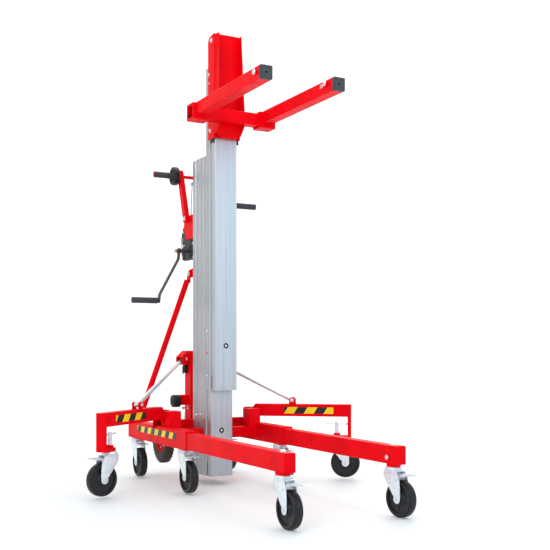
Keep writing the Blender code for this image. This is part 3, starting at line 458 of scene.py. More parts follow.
def slab(outline, low, high, bevel=0.0, material=0):
    """An (x, y) outline given a thickness along Z, with soft edges."""
    shape = bmesh.new()
    bottom = [shape.verts.new((x, y, low)) for x, y in outline]
    top = [shape.verts.new((x, y, high)) for x, y in outline]
    shape.faces.new(bottom[::-1])
    shape.faces.new(top)
    for i in range(len(outline)):
        j = (i + 1) % len(outline)
        shape.faces.new((bottom[i], bottom[j], top[j], top[i]))
    bmesh.ops.recalc_face_normals(shape, faces=shape.faces)
    if bevel:
        bmesh.ops.bevel(shape, geom=shape.edges, offset=bevel, segments=2, affect="EDGES", profile=0.5)
    for face in shape.faces:
        face.material_index = material
    return shape


def block(size, centre, bevel=0.001, material=0):
    x, y, z = (s / 2 for s in size)
    shape = slab([(-x, -y), (x, -y), (x, y), (-x, y)], -z, z, bevel, material)
    return place_all(shape, Matrix.Translation(centre))


def facing(normal):
    """Turns +Z to the given direction."""
    return Vector(normal).to_track_quat("Z", "Y").to_matrix().to_4x4()


def seat(place, normal):
    """Sets a shape's origin at a place, its +Z to the given direction."""
    return Matrix.Translation(place) @ facing(normal)


def hex_bolt(place, normal, flats=0.013, height=0.005, washer=0.0, material=0):
    """A chamfered hex head on a washer, standing on a face."""
    shape = bmesh.new()
    washer = washer or flats * 0.85
    merge(shape, lathe([(0, 0), (washer, 0), (washer, 0.0011), (washer - 0.0005, 0.0015), (0, 0.0015)], 28,
                       material=material))
    corner = flats / 1.732
    outline = [(corner * cos(pi / 3 * k), corner * sin(pi / 3 * k)) for k in range(6)]
    merge(shape, slab(outline, 0.0014, 0.0014 + height, 0.0005, material))
    return place_all(shape, seat(place, normal))


def dome_bolt(place, normal, radius=0.008, height=0.004, material=0):
    profile = [(0, 0), (radius, 0), (radius * 0.97, height * 0.35), (radius * 0.80, height * 0.75),
               (radius * 0.50, height), (radius * 0.34, height), (radius * 0.30, height * 0.5), (0, height * 0.5)]
    return place_all(lathe(profile, 28, material=material), seat(place, normal))


def ready_mesh(name, shape, finishes):
    """Turns a shape into a mesh with smooth shading and its finishes."""
    mesh = bpy.data.meshes.new(name)
    shape.to_mesh(mesh)
    shape.free()
    mesh.shade_smooth()
    mesh.set_sharp_from_angle(angle=SMOOTH_BELOW)
    for finish in finishes:
        mesh.materials.append(finish)
    return mesh


def put(name, shape, body, finishes, matrix=None, replaces=()):
    """Makes a piece that rides on a body, from a shape or from a mesh that several pieces share.

    Points in the shape are from the mast unless a matrix is given.
    """
    mesh = shape if isinstance(shape, bpy.types.Mesh) else ready_mesh(name, shape, finishes)
    piece = new_object(name, mesh)
    piece.matrix_world = at() if matrix is None else matrix
    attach(piece, body)
    if replaces:
        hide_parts(*replaces)


def stand_in(name, mesh, node, matrix, body=None):
    """Puts a shared mesh where a plainer node of the frame is, and replaces it."""
    put(name, mesh, body or node, (), matrix, (node,))


def wire(points, radius, sides=12, material=0):
    """A round wire through the points."""
    shape = bmesh.new()
    points = [Vector(p) for p in points]
    rings = []
    side = None
    for i, point in enumerate(points):
        ahead = (points[min(i + 1, len(points) - 1)] - points[max(i - 1, 0)]).normalized()
        if side is None:
            side = ahead.orthogonal().normalized()
        side = (side - ahead * side.dot(ahead)).normalized()
        up = ahead.cross(side)
        ring = []
        for k in range(sides):
            angle = 2 * pi * k / sides
            ring.append(shape.verts.new(point + (side * cos(angle) + up * sin(angle)) * radius))
        rings.append(ring)
    for low, high in zip(rings, rings[1:]):
        for k in range(sides):
            j = (k + 1) % sides
            shape.faces.new((low[k], low[j], high[j], high[k]))
    shape.faces.new(rings[0][::-1])
    shape.faces.new(rings[-1])
    for face in shape.faces:
        face.material_index = material
    bmesh.ops.recalc_face_normals(shape, faces=shape.faces)
    return shape


# Casters


def caster_wheel_mesh():
    """Solid rubber tyre on a plastic centre with a bearing; the axle runs along Z here."""
    half = 0.019
    tread = [(0.0600, half - 0.0015), (0.0625, half), (0.0690, half), (0.0725, half - 0.0016), (0.0748, half - 0.0050),
             (0.0758, half - 0.0095), (0.0760, half - 0.0150), (0.0760, 0.0)]
    tyre = tread + [(r, -z) for r, z in reversed(tread[:-1])]
    shape = lathe(tyre, 64, closed=True)
    face = [(0.0604, half - 0.0020), (0.0590, half - 0.0085), (0.0480, half - 0.0098), (0.0300, half - 0.0092),
            (0.0255, half - 0.0030), (0.0240, half - 0.0018), (0.0140, half - 0.0018), (0.0132, half - 0.0035),
            (0.0068, half - 0.0035)]
    centre = face + [(r, -z) for r, z in reversed(face)]
    merge(shape, lathe(centre, 56, closed=True, material=1))
    for k in range(5):
        angle = 2 * pi * k / 5
        for sign in (-1, 1):
            rib = block((0.026, 0.0032, 0.0022), (0.043, 0, sign * (half - 0.0090)), 0.0007, 1)
            merge(shape, rib, Matrix.Rotation(angle, 4, "Z"))
    return shape


def yoke_outline():
    """Side view of a yoke leg as (back, height), its lower end round about the axle."""
    end_radius = 0.0190
    points = [(0.0340, 0.1855), (0.0360, 0.1790), (0.0345, 0.1660), (0.0225, 0.1450), (-0.0030, 0.1130),
              (-0.0220, 0.0885)]
    for k in range(9):
        angle = radians(30 - 26.0 * k)
        points.append((-TRAIL + end_radius * cos(angle), WHEEL_RADIUS + end_radius * sin(angle)))
    points += [(-0.0636, 0.0900), (-0.0628, 0.1180), (-0.0600, 0.1480), (-0.0545, 0.1660), (-0.0470, 0.1765),
               (-0.0440, 0.1855)]
    return points


def caster_yoke_mesh():
    """Pressed zinc yoke: two legs, a domed crown, ball races and the axle with its nut. Trails towards -Y."""
    shape = bmesh.new()
    inner, sheet = 0.02225, 0.0030
    outline = yoke_outline()
    turn = Matrix(((0, 0, 1, 0), (1, 0, 0, 0), (0, 1, 0, 0), (0, 0, 0, 1)))
    for low in (inner, -inner - sheet):
        merge(shape, slab(outline, low, low + sheet, 0.0009), turn)
    crown = [(-0.0250, -0.0365), (0.0250, -0.0365), (0.0252, 0.0300), (-0.0252, 0.0300)]
    merge(shape, slab(crown, 0.1825, 0.1862, 0.0010))
    merge(shape, lathe([(0, 0.1855), (0.0365, 0.1855), (0.0375, 0.1872), (0.0375, 0.1895), (0.0360, 0.1905),
                        (0.0335, 0.1908), (0.0335, 0.1922), (0.0368, 0.1926), (0.0373, 0.1945), (0.0365, 0.1975),
                        (0.0335, 0.2000), (0.0300, 0.2022), (0, 0.2022)], 48))
    nut = [(0, 0.1835), (0.0125, 0.1835), (0.0125, 0.1770), (0.0115, 0.1760), (0, 0.1760)]
    merge(shape, lathe(nut, 6, material=1))
    for sign in (-1, 1):
        place = (sign * (inner + sheet), -TRAIL, WHEEL_RADIUS)
        merge(shape, hex_bolt(place, (sign, 0, 0), 0.0105, 0.0036, 0.0088, 1))
        spacer = lathe([(0.0063, -0.0026), (0.0115, -0.0026), (0.0115, 0.0008), (0.0063, 0.0008)], 24, closed=True,
                       material=1)
        merge(shape, spacer, seat((sign * 0.0206, -TRAIL, WHEEL_RADIUS), (1, 0, 0)))
    merge(shape, wire([(-0.022, -TRAIL, WHEEL_RADIUS), (0.022, -TRAIL, WHEEL_RADIUS)], 0.0060, 20, 1))
    return shape


def brake_mesh():
    """Foot pedal about its hinge: a dished tread plate, side flanges, a cross barrel and a dark brake shoe."""
    shape = bmesh.new()
    outline = [(-0.019, 0.000), (0.019, 0.000), (0.019, -0.030), (0.027, -0.038), (0.0298, -0.048), (0.0298, -0.066),
               (0.0260, -0.078), (0.0180, -0.0855), (-0.0180, -0.0855), (-0.0260, -0.078), (-0.0298, -0.066),
               (-0.0298, -0.048), (-0.027, -0.038), (-0.019, -0.030)]
    merge(shape, slab(outline, 0.0048, 0.0082, 0.0010))
    for k in range(5):
        merge(shape, block((0.036, 0.0022, 0.0016), (0, -0.052 - 0.0066 * k, 0.0086), 0.0006))
    for sign in (-1, 1):
        merge(shape, block((0.0030, 0.0380, 0.0120), (sign * 0.0175, -0.0165, 0.0015), 0.0008))
        merge(shape, block((0.0026, 0.0300, 0.0060), (sign * 0.0283, -0.0560, 0.0036), 0.0008))
    merge(shape, wire([(-0.0215, 0, 0), (0.0215, 0, 0)], 0.0055, 24))
    merge(shape, block((0.022, 0.020, 0.006), (0, -0.046, 0.0020), 0.0015, 1))
    return shape


def arm_xy(side, along, depth):
    """Where a point of an outrigger lies: along the arm and behind its front face."""
    x = side * (ARM_START_X + along * cos(SPLAY) + depth * sin(SPLAY))
    return x, ARM_START_Y - along * sin(SPLAY) + depth * cos(SPLAY)


def add_casters():
    wheel = ready_mesh("caster_wheel", caster_wheel_mesh(), [RUBBER, BLACK])
    yoke = ready_mesh("caster_yoke", caster_yoke_mesh(), [ZINC, CHROME])
    pedal = ready_mesh("caster_pedal", brake_mesh(), [PEDAL, BLACK])
    places = (  # name, x, y, height above the floor, yaw
        ("front_left", -LEG_X, FRONT_CASTER_Y, 0.0, 1.0),
        ("front_right", LEG_X, FRONT_CASTER_Y, 0.0, 6.0),
        ("middle_left", -LEG_X, MIDDLE_CASTER_Y, SLEEVE_CASTER_LIFT, 1.0),
        ("middle_right", LEG_X, MIDDLE_CASTER_Y, SLEEVE_CASTER_LIFT, -4.0),
        ("rear_left", -LEG_X, REAR_CASTER_Y, SLEEVE_CASTER_LIFT, -2.0),
        ("rear_right", LEG_X, REAR_CASTER_Y, SLEEVE_CASTER_LIFT, 3.0),
        ("outrigger_left", *arm_xy(-1, SCREW_ALONG, ARM_DEEP / 2), OUTRIGGER_CASTER_LIFT, -72.3),
        ("outrigger_right", *arm_xy(1, SCREW_ALONG, ARM_DEEP / 2), OUTRIGGER_CASTER_LIFT, 57.0),
    )
    for name, x, y, lift, yaw in places:
        swivel = at(x, y, lift, yaw)
        axle = swivel @ Matrix.Translation((0, -TRAIL, WHEEL_RADIUS)) @ ACROSS
        stand_in("caster_wheel_" + name, wheel, "wheel_" + name, axle)
        stand_in("caster_yoke_" + name, yoke, "yoke_" + name, swivel)
        hinge = swivel @ Matrix.Translation(PEDAL_HINGE)
        stand_in("caster_pedal_" + name, pedal, "brake_" + name, hinge)


# Hazard stripes


def stripes(length, height, bars, lean, first_dark, matrix):
    """Alternate slanted bars on a thin foil, in the X-Z plane facing -Y, its lower left corner at the origin."""
    shape = bmesh.new()
    wide = length / bars
    for k in range(-1, bars + 1):
        bottom = (k * wide, (k + 1) * wide)
        top = (bottom[0] + lean, bottom[1] + lean)
        outline = [(bottom[0], 0.0), (bottom[1], 0.0), (top[1], height), (top[0], height)]
        outline = clip(clip(outline, 0.0, 1), length, -1)
        if len(outline) < 3:
            continue
        dark = (k % 2 == 0) == first_dark
        merge(shape, slab(outline, 0.0, 0.0004, 0.0, 1 if dark else 0))
    return place_all(shape, matrix @ Matrix.Rotation(radians(90), 4, "X"))


def clip(outline, limit, sign):
    """Keeps the part of an outline whose x is above the limit (sign 1) or below it (sign -1)."""
    kept = []
    for (x0, y0), (x1, y1) in zip(outline, outline[1:] + outline[:1]):
        inside0, inside1 = (x0 - limit) * sign >= 0, (x1 - limit) * sign >= 0
        if inside0:
            kept.append((x0, y0))
        if inside0 != inside1:
            t = (limit - x0) / (x1 - x0)
            kept.append((limit, y0 + t * (y1 - y0)))
    return kept


def add_hazard_stripes():
    foil = [YELLOW, STRIPE_BLACK]
    for word, side in SIDES:
        start_y = 0.480 if side < 0 else -0.050
        turn = Matrix.Rotation(radians(side * 90), 4, "Z")
        face = Matrix.Translation((side * 0.28675, start_y, 0.2490)) @ turn
        put("stripes_sleeve_" + word, stripes(0.530, 0.031, 11, 0.016, True, face), "chassis", foil)
    for word, side in SIDES:
        yaw = radians(-SPLAY_DEGREES * side)
        arm = Matrix.Translation((side * ARM_START_X, ARM_START_Y, 0)) @ Matrix.Rotation(yaw, 4, "Z")
        start_x = 0.177 if side > 0 else -0.437
        face = arm @ Matrix.Translation((start_x, -0.0001, 0.343))
        put("stripes_outrigger_" + word, stripes(0.260, 0.0335, 5, 0.021, side < 0, face), "outrigger_" + word, foil)


# Wheels and grips that stand for plain CAD rounds


def mirrored(half):
    """Closes a (radius, across) half profile with its mirror image."""
    return half + [(r, -z) for r, z in reversed(half)]


def transport_wheel_mesh():
    """Cushion tyre with shoulder lugs on a dished red rim; the axle runs along Z here."""
    tyre = [(0.0620, 0.0165), (0.0680, 0.0190), (0.0790, 0.0216), (0.0820, 0.0228), (0.0960, 0.0230), (0.1000, 0.0220),
            (0.1090, 0.0204), (0.1150, 0.0176), (0.1188, 0.0130), (0.1208, 0.0110), (0.1206, 0.0095), (0.1222, 0.0080),
            (0.1224, 0.0030), (0.1206, 0.0022)]
    shape = lathe(mirrored(tyre), 72, closed=True)
    for k in range(36):
        angle = 2 * pi * k / 36
        for sign in (-1, 1):
            lug = block((0.0046, 0.0104, 0.0100), (0.1192, 0, 0), 0.0009)
            place_all(lug, Matrix.Translation((0, 0, sign * 0.0128)) @ Matrix.Rotation(sign * 0.28, 4, "X"))
            merge(shape, lug, Matrix.Rotation(angle + sign * 0.04, 4, "Z"))
    rim = [(0.0618, 0.0160), (0.0606, 0.0186), (0.0584, 0.0184), (0.0560, 0.0150), (0.0520, 0.0080), (0.0330, 0.0058),
           (0.0260, 0.0072), (0.0222, 0.0120), (0.0215, 0.0205), (0.0200, 0.0218), (0.0130, 0.0218), (0.0122, 0.0208),
           (0.0091, 0.0208)]
    merge(shape, lathe(mirrored(rim), 64, closed=True, material=1))
    for k in range(5):
        angle = 2 * pi * (k + 0.3) / 5
        for sign in (-1, 1):
            place = (0.0425 * cos(angle), 0.0425 * sin(angle), sign * 0.0064)
            merge(shape, hex_bolt(place, (0, 0, sign), 0.0075, 0.0032, 0.0056, 2))
    return shape


def loading_wheel_mesh():
    tyre = [(0.0370, 0.0125), (0.0385, 0.0138), (0.0450, 0.0136), (0.0474, 0.0118), (0.0484, 0.0080), (0.0485, 0.0030)]
    shape = lathe(mirrored(tyre), 56, closed=True)
    centre = [(0.0368, 0.0118), (0.0352, 0.0128), (0.0336, 0.0116), (0.0330, 0.0048), (0.0170, 0.0040),
              (0.0156, 0.0056), (0.0150, 0.0124), (0.0140, 0.0134), (0.0105, 0.0134), (0.0091, 0.0124)]
    merge(shape, lathe(mirrored(centre), 48, closed=True, material=1))
    for k in range(6):
        for sign in (-1, 1):
            rib = block((0.0190, 0.0030, 0.0062), (0.0245, 0, sign * 0.0070), 0.0008, 1)
            merge(shape, rib, Matrix.Rotation(2 * pi * k / 6, 4, "Z"))
    return shape


def roller_mesh():
    half = [(0.0066, 0.0200), (0.0125, 0.0200), (0.0135, 0.0182), (0.0240, 0.0178), (0.0255, 0.0200), (0.0300, 0.0200),
            (0.0322, 0.0186), (0.0329, 0.0165), (0.0330, 0.0105), (0.0322, 0.0100), (0.0322, 0.0085), (0.0330, 0.0080),
            (0.0330, 0.0020)]
    return lathe(mirrored(half), 56, closed=True)


def grip_mesh(length, bore, radius=0.0164):
    """Ribbed rubber grip along Z with a smooth coloured collar at each end."""
    end = 0.0065
    collar = [(bore, 0.0), (radius - 0.0022, 0.0), (radius, 0.0018), (radius, end - 0.0006), (radius - 0.0010, end),
              (bore, end)]
    shape = lathe(collar, 40, closed=True, material=1)
    merge(shape, lathe([(r, length - z) for r, z in collar], 40, closed=True, material=1))
    ribs = int((length - 2 * end) / 0.0068)
    pitch = (length - 2 * end) / ribs
    profile = [(bore, end)]
    for k in range(ribs):
        z = end + k * pitch
        profile += [(radius - 0.0024, z + 0.0002), (radius - 0.0022, z + 0.16 * pitch),
                    (radius - 0.0007, z + 0.34 * pitch), (radius - 0.0006, z + 0.80 * pitch),
                    (radius - 0.0022, z + 0.96 * pitch)]
    profile.append((bore, length - end))
    merge(shape, lathe(profile, 40, closed=True))
    return shape


def add_wheels_and_grips():
    big = ready_mesh("transport_wheel", transport_wheel_mesh(), [SIDEWALL, RED, CHROME])
    small = ready_mesh("loading_wheel", loading_wheel_mesh(), [RUBBER, GREY])
    roller = ready_mesh("roller", roller_mesh(), [BLACK])
    crank_grip = ready_mesh("crank_grip", grip_mesh(0.137, 0.0064), [GREY, GREY])
    handle_grip = ready_mesh("handle_grip", grip_mesh(0.084, 0.0089), [GREY, GRIP_RED])
    crank_y, crank_z = CRANK
    cap = [(0, 0), (0.0120, 0), (0.0132, 0.0010), (0.0132, 0.0022), (0.0095, 0.0048), (0, 0.0052)]
    end = [(0, -0.0030), (0.0086, -0.0030), (0.0086, 0.0010), (0.0070, 0.0022), (0, 0.0026)]
    spacer = [(0.0089, 0.0), (0.0130, 0.0), (0.0138, 0.0010), (0.0138, 0.0160), (0.0130, 0.0168), (0.0089, 0.0168)]
    for word, side in SIDES:
        outward = facing((side, 0, 0))
        stand_in("road_wheel_" + word, big, "transport_wheel_" + word, at(side * 0.111, *TRANSPORT_AXLE) @ ACROSS)
        stand_in("top_wheel_" + word, small, "loading_wheel_" + word, at(side * 0.097, *LOADING_AXLE) @ ACROSS)
        stand_in("guide_roller_" + word, roller, "roller_" + word, at(side * 0.09475, *ROLLER_AXLE) @ ACROSS)
        stand_in("ribbed_crank_grip_" + word, crank_grip, "crank_grip_" + word,
                 at(side * 0.218, crank_y, crank_z + side * CRANK_REACH) @ outward)
        stand_in("ribbed_handle_grip_" + word, handle_grip, "handle_grip_" + word,
                 at(side * 0.129, *LOADING_AXLE) @ outward, "chassis")
        rounds = (("axle_cap_", lathe(cap, 32), 0.1381, TRANSPORT_AXLE, CHROME),
                  ("roller_cap_", lathe(end, 28), 0.1172, ROLLER_AXLE, BLACK),
                  ("grip_spacer_", lathe(spacer, 32, closed=True), 0.1116, LOADING_AXLE, GREY))
        for name, shape, x, axle, finish in rounds:
            place_all(shape, Matrix.Translation((side * x, *axle)) @ outward)
            put(name + word, shape, "chassis", [finish])


# Mast, carriage and forks


def add_mast_ribs():
    """Fine ribs down the skirts of each section."""
    sections = (  # node, depths of its ribs, low end, high end
        ("mast_top", (0.0636, 0.0740, 0.0846), 0.4765, 2.0805),
        ("mast_upper", (0.1035, 0.1175, 0.1345), 0.0455, 1.6495),
        ("mast_lower", (0.1535, 0.1675, 0.1845), 0.0455, 1.6495),
        ("mast_base", (0.2010, 0.2290, 0.2410), 0.0455, 1.6495),
    )
    for name, lines, low, high in sections:
        shape = bmesh.new()
        for _, side in SIDES:
            for y in lines:
                merge(shape, block((0.0014, 0.0022, high - low), (side * 0.0662, y, (high + low) / 2), 0.0004))
        body = "chassis" if name == "mast_base" else name
        put("ribs_" + name, shape, body, [ALUMINIUM])


def add_mast_plugs():
    """Round plugs on the fronts. The top one stands 0.3 mm proud, and the carriage clears it by 0.1 mm."""
    ring = [(0, 0), (0.0135, 0), (0.0135, 0.0006), (0.0122, 0.0012), (0.0072, 0.0014), (0.0068, 0.0007), (0, 0.0007)]
    middle = [(0, 0.0005), (0.0054, 0.0005), (0.0052, 0.0013), (0.0036, 0.0017), (0, 0.0017)]
    for name, y, z, flat in (("mast_top", 0.0, 0.697, 0.2), ("mast_upper", 0.05, 0.2745, 1.0)):
        shape = lathe(ring, 36)
        merge(shape, lathe(middle, 28, material=1))
        place_all(shape, seat((0, y + 0.0002 * flat, z), (0, -1, 0)) @ Matrix.Diagonal((1, 1, flat, 1)))
        put("plug_" + name, shape, name, [BLACK, CHROME])


def add_mast_bolts():
    """Bolts of the slide pads, the base's row of small openings drawn as black discs of painted shade, and the pads'
    dark edges.
    """
    bolts = (  # body, y, z, radius, distance from the middle, height, finish
        ("mast_top", 0.082, 0.771, 0.0078, SKIRT_FACE, 0.0062, CHROME),
        ("mast_top", 0.079, 0.661, 0.0036, SKIRT_FACE, 0.0062, RED),
        ("mast_top", 0.084, 0.546, 0.0078, SKIRT_FACE, 0.0062, CHROME),
        ("mast_lower", 0.160, 0.3468, 0.0078, SKIRT_FACE, 0.0062, CHROME),
        ("chassis", 0.214, 0.3436, 0.0070, 0.0628, 0.0090, CHROME),
    )
    for k, (body, y, z, radius, x, height, finish) in enumerate(bolts):
        shape = bmesh.new()
        for _, side in SIDES:
            merge(shape, dome_bolt((side * x, y, z), (side, 0, 0), radius, height))
        put("slide_bolt_%d" % k, shape, body, [finish])
    # Painted shade: black discs on the base's face stand in for the dark inside its row of small openings
    hole_shades = bmesh.new()
    rim = [(0, 0), (0.0040, 0), (0.0042, 0.0008), (0.0030, 0.0011), (0.0026, 0.0003), (0, 0.0003)]
    for k in range(7):
        merge(hole_shades, lathe(rim, 20), seat((-SKIRT_FACE, 0.2500, 1.556 + 0.0135 * k), (-1, 0, 0)))
    put("base_hole_shades", hole_shades, "chassis", [BLACK])
    for name, y, z in (("mast_top", 0.036, 0.516), ("mast_upper", 0.086, 0.085), ("mast_lower", 0.136, 0.085)):
        shape = bmesh.new()
        for _, side in SIDES:
            merge(shape, block((0.0014, 0.0046, 0.066), (side * 0.0606, y, z), 0.0005))
        put("pad_edge_" + name, shape, name, [DARK_STEEL])


def add_carriage_details():
    """Bolts on the side plates, weld beads round the crossbar and the lower slide pads."""
    bolts = (  # kind, y, z, flats or radius, height
        (hex_bolt, 0.016, 2.203, 0.013, 0.0050),
        (hex_bolt, 0.045, 2.042, 0.010, 0.0042),
        (dome_bolt, 0.043, 1.998, 0.0045, 0.0024),
        (hex_bolt, 0.030, 1.759, 0.011, 0.0045),
        (dome_bolt, 0.022, 1.900, 0.0042, 0.0022),
        (dome_bolt, 0.046, 1.770, 0.0038, 0.0020),
    )
    shape = bmesh.new()
    for _, side in SIDES:
        for kind, y, z, wide, high in bolts:
            merge(shape, kind((side * SIDE_FACE, y, z), (side, 0, 0), wide, high))
    put("carriage_bolts", shape, "carriage", [CHROME])
    beads = bmesh.new()
    for _, side in SIDES:
        for z in (1.8434 + 0.0004, 1.7836 - 0.0004):
            points = [(side * (0.0700 + 0.0004 * sin(9 * k)), -0.0390 - 0.0014 * k, z) for k in range(22)]
            merge(beads, wire(points, 0.0019, 10))
        merge(beads, wire([(side * 0.0700, -0.0362, 1.786 + 0.0028 * k) for k in range(20)], 0.0017, 10))
    put("weld_beads", beads, "carriage", [RED])
    pads = bmesh.new()
    for _, side in SIDES:
        merge(pads, block((0.0046, 0.0300, 0.0190), (side * 0.0690, 0.0200, 1.7095), 0.0012))
    put("carriage_pads", pads, "carriage", [BLACK])


def add_fork_pin(word, side, y, z):
    """The lock pin's button on a fork's left face. The right one has its spring clip as well."""
    radius = 0.0120
    x = side * FORK_X - FORK_HALF - 0.0120
    shape = lathe([(0, 0), (radius, 0), (radius, 0.0012), (radius * 0.9, 0.0030), (radius * 0.62, 0.0048),
                   (radius * 0.3, 0.0056), (0, 0.0058)], 36)
    place_all(shape, seat((x, y, z), (-1, 0, 0)))
    if side > 0:
        merge(shape, block((0.0040, 0.0300, 0.0090), (x - 0.0020, y + 0.0170, z - 0.0060), 0.0014))
        clip_x = x - 0.0030
        spring = [(clip_x, y - 0.004, z - 0.010), (clip_x, y + 0.014, z - 0.0150), (clip_x, y + 0.032, z - 0.0140)]
        merge(shape, wire(spring, 0.0018, 10))
    put("fork_pin_" + word, shape, "fork_" + word, [CHROME])


def add_cap_ridges(word, side):
    """A square of thin ridges and a ring on the plastic cap at a fork's end."""
    plate = bmesh.new()
    middle = side * FORK_X
    for sx in (-1, 1):
        for sz in (-1, 1):
            for long, high, dx, dz in ((0.0170, 0.0020, 0.0125, 0.0200), (0.0020, 0.0170, 0.0200, 0.0125)):
                place = (middle + sx * dx, CAP_Y - 0.0002, FORK_Z + sz * dz)
                merge(plate, block((long, 0.0012, high), place, 0.0004))
    ring = [(0.0046, 0.0), (0.0080, 0.0), (0.0080, 0.0010), (0.0070, 0.0016), (0.0048, 0.0016)]
    merge(plate, lathe(ring, 28, closed=True), seat((middle, CAP_Y, FORK_Z), (0, -1, 0)))
    put("cap_ridges_" + word, plate, "fork_" + word, [GREY])


def add_fork_details():
    for word, side, y, z in (("left", -1, -0.726, 1.828), ("right", 1, -0.703, 1.837)):
        add_fork_pin(word, side, y, z)
        add_cap_ridges(word, side)
    knob = bmesh.new()
    for k in range(2):
        petal = lathe([(0, 0), (0.0078, 0), (0.0085, 0.0014), (0.0085, 0.0080), (0.0072, 0.0100), (0, 0.0106)], 24)
        merge(knob, petal, Matrix.Translation((-0.0085 + 0.017 * k, 0, 0.0030)))
    merge(knob, lathe([(0, 0), (0.0060, 0), (0.0060, 0.0125), (0.0050, 0.0135), (0, 0.0135)], 24))
    place_all(knob, seat((-0.1497, -0.722, 1.822), (1, 0, 0)) @ Matrix.Rotation(1.1, 4, "Z"))
    put("fork_knob", knob, "fork_left", [BLACK])
    button = lathe([(0, 0), (0.0062, 0), (0.0068, 0.0012), (0.0062, 0.0050), (0.0040, 0.0062), (0, 0.0064)], 28)
    place_all(button, seat((-0.2185, -0.0436, 1.802), (-1, 0, 0)))
    put("collar_knob", button, "carriage", [BLACK])


# Winch


def helix(start, pitch, turns, steps, place):
    """Points of a helix. place gives the point at an angle and a distance along the axis."""
    return [place(2 * pi * k / steps, start + pitch * k / steps) for k in range(int(steps * turns) + 1)]


def add_winch_cover_details():
    """Cooling ribs, a bright release tab and two raised rings on the cover's left face."""
    cover = bmesh.new()
    for y in (0.300, 0.316, 0.331, 0.346, 0.395, 0.409, 0.423):
        merge(cover, block((0.0018, 0.0044, 0.0620), (-0.0516, y, 1.1900), 0.0006))
    merge(cover, block((0.0024, 0.0150, 0.0520), (COVER_FACE, 0.4300, 1.2450), 0.0010, 1))
    outer = [(0.0600, 0), (0.0600, 0.0014), (0.0615, 0.0018), (0.0670, 0.0018), (0.0690, 0.0014), (0.0690, 0)]
    inner = [(0.0080, 0), (0.0080, 0.0016), (0.0130, 0.0020), (0.0170, 0.0012), (0.0170, 0)]
    for profile, segments in ((outer, 64), (inner, 40)):
        ring = lathe(profile, segments, closed=True)
        merge(cover, ring, seat((COVER_FACE, *DRUM), (-1, 0, 0)))
    put("cover_ribs", cover, "chassis", [BLACK, CHROME])


def add_winch_bolts():
    """Bolts of the cover, of the winch frame's cheeks and lugs, of the braces' feet and of the back plate."""
    pairs = ((0.0769, 0.345, 1.366, 0.0130, 0.0048), (0.0483, 0.355, 1.078, 0.0130, 0.0046),
             (0.2612, 0.523, 0.334, 0.0100, 0.0040))
    bolts = bmesh.new()
    for y, z in ((0.416, 1.303), (0.4045, 1.228), (0.338, 1.320), (0.290, 1.232), (0.284, 1.160), (0.430, 1.172)):
        on_dome = hypot(y - DRUM[0], z - DRUM[1]) < 0.070
        merge(bolts, hex_bolt((-0.0519 if on_dome else -0.0508, y, z), (-1, 0, 0), 0.0085, 0.0034, 0.0068))
    for y, z in ((0.384, 1.292), (0.290, 1.222), (0.286, 1.158), (0.380, 1.176)):
        merge(bolts, hex_bolt((0.0499, y, z), (1, 0, 0), 0.0085, 0.0034, 0.0068))
    for _, side in SIDES:
        for x, y, z, flats, height in pairs:
            merge(bolts, hex_bolt((side * x, y, z), (side, 0, 0), flats, height))
    for z in (1.372, 1.062):
        for x in (-0.020, 0.020):
            merge(bolts, hex_bolt((x, 0.2656, z), (0, 1, 0), 0.0100, 0.0042))
    put("winch_bolts", bolts, "chassis", [CHROME])


def add_crank_nuts():
    hubs = bmesh.new()
    for _, side in SIDES:
        merge(hubs, hex_bolt((side * 0.1118, *CRANK), (side, 0, 0), 0.0140, 0.0062, 0.0118))
        merge(hubs, dome_bolt((side * 0.1190, *CRANK), (side, 0, 0), 0.0050, 0.0036))
    put("crank_nuts", hubs, "crank", [BRASS])


def add_drum_details():
    """Turns of rope on the hub, a rolled rim on each flange and the nut on the shaft."""
    radius = 0.0366
    points = helix(-0.0122, 0.0046, 9.1, 28, lambda angle, x: (
        x, DRUM[0] + radius * cos(angle), DRUM[1] + radius * sin(angle)))
    put("rope_turns", wire(points, 0.00225, 8), "winch_drum", [CABLE])
    drum = bmesh.new()
    rim = [(0.0560, 0), (0.0560, 0.0010), (0.0575, 0.0014), (0.0635, 0.0014), (0.0650, 0.0010), (0.0650, 0)]
    for x, sign in ((-0.0330, -1), (0.0350, 1)):
        merge(drum, lathe(rim, 56, closed=True), seat((x, *DRUM), (sign, 0, 0)))
    put("drum_rims", drum, "winch_drum", [ZINC])
    nut = lathe([(0, 0), (0.0105, 0), (0.0112, 0.0010), (0.0112, 0.0040), (0.0080, 0.0062), (0, 0.0066)], 6)
    place_all(nut, seat((0.0518, *DRUM), (1, 0, 0)))
    put("drum_nut", nut, "winch_drum", [CHROME])


# Outriggers, post and legs


def arm_point(side, along, depth, z):
    return Vector((*arm_xy(side, along, depth), z))


def through_bolt(side, along, half, z, flats, height):
    """The two heads of a bolt that crosses an arm, each half its length from the arm's middle."""
    shape = bmesh.new()
    for sign in (-1, 1):
        outward = Vector((side * sin(SPLAY), cos(SPLAY), 0)) * sign
        merge(shape, hex_bolt(arm_point(side, along, ARM_DEEP / 2 + sign * half, z), outward, flats, height))
    return shape


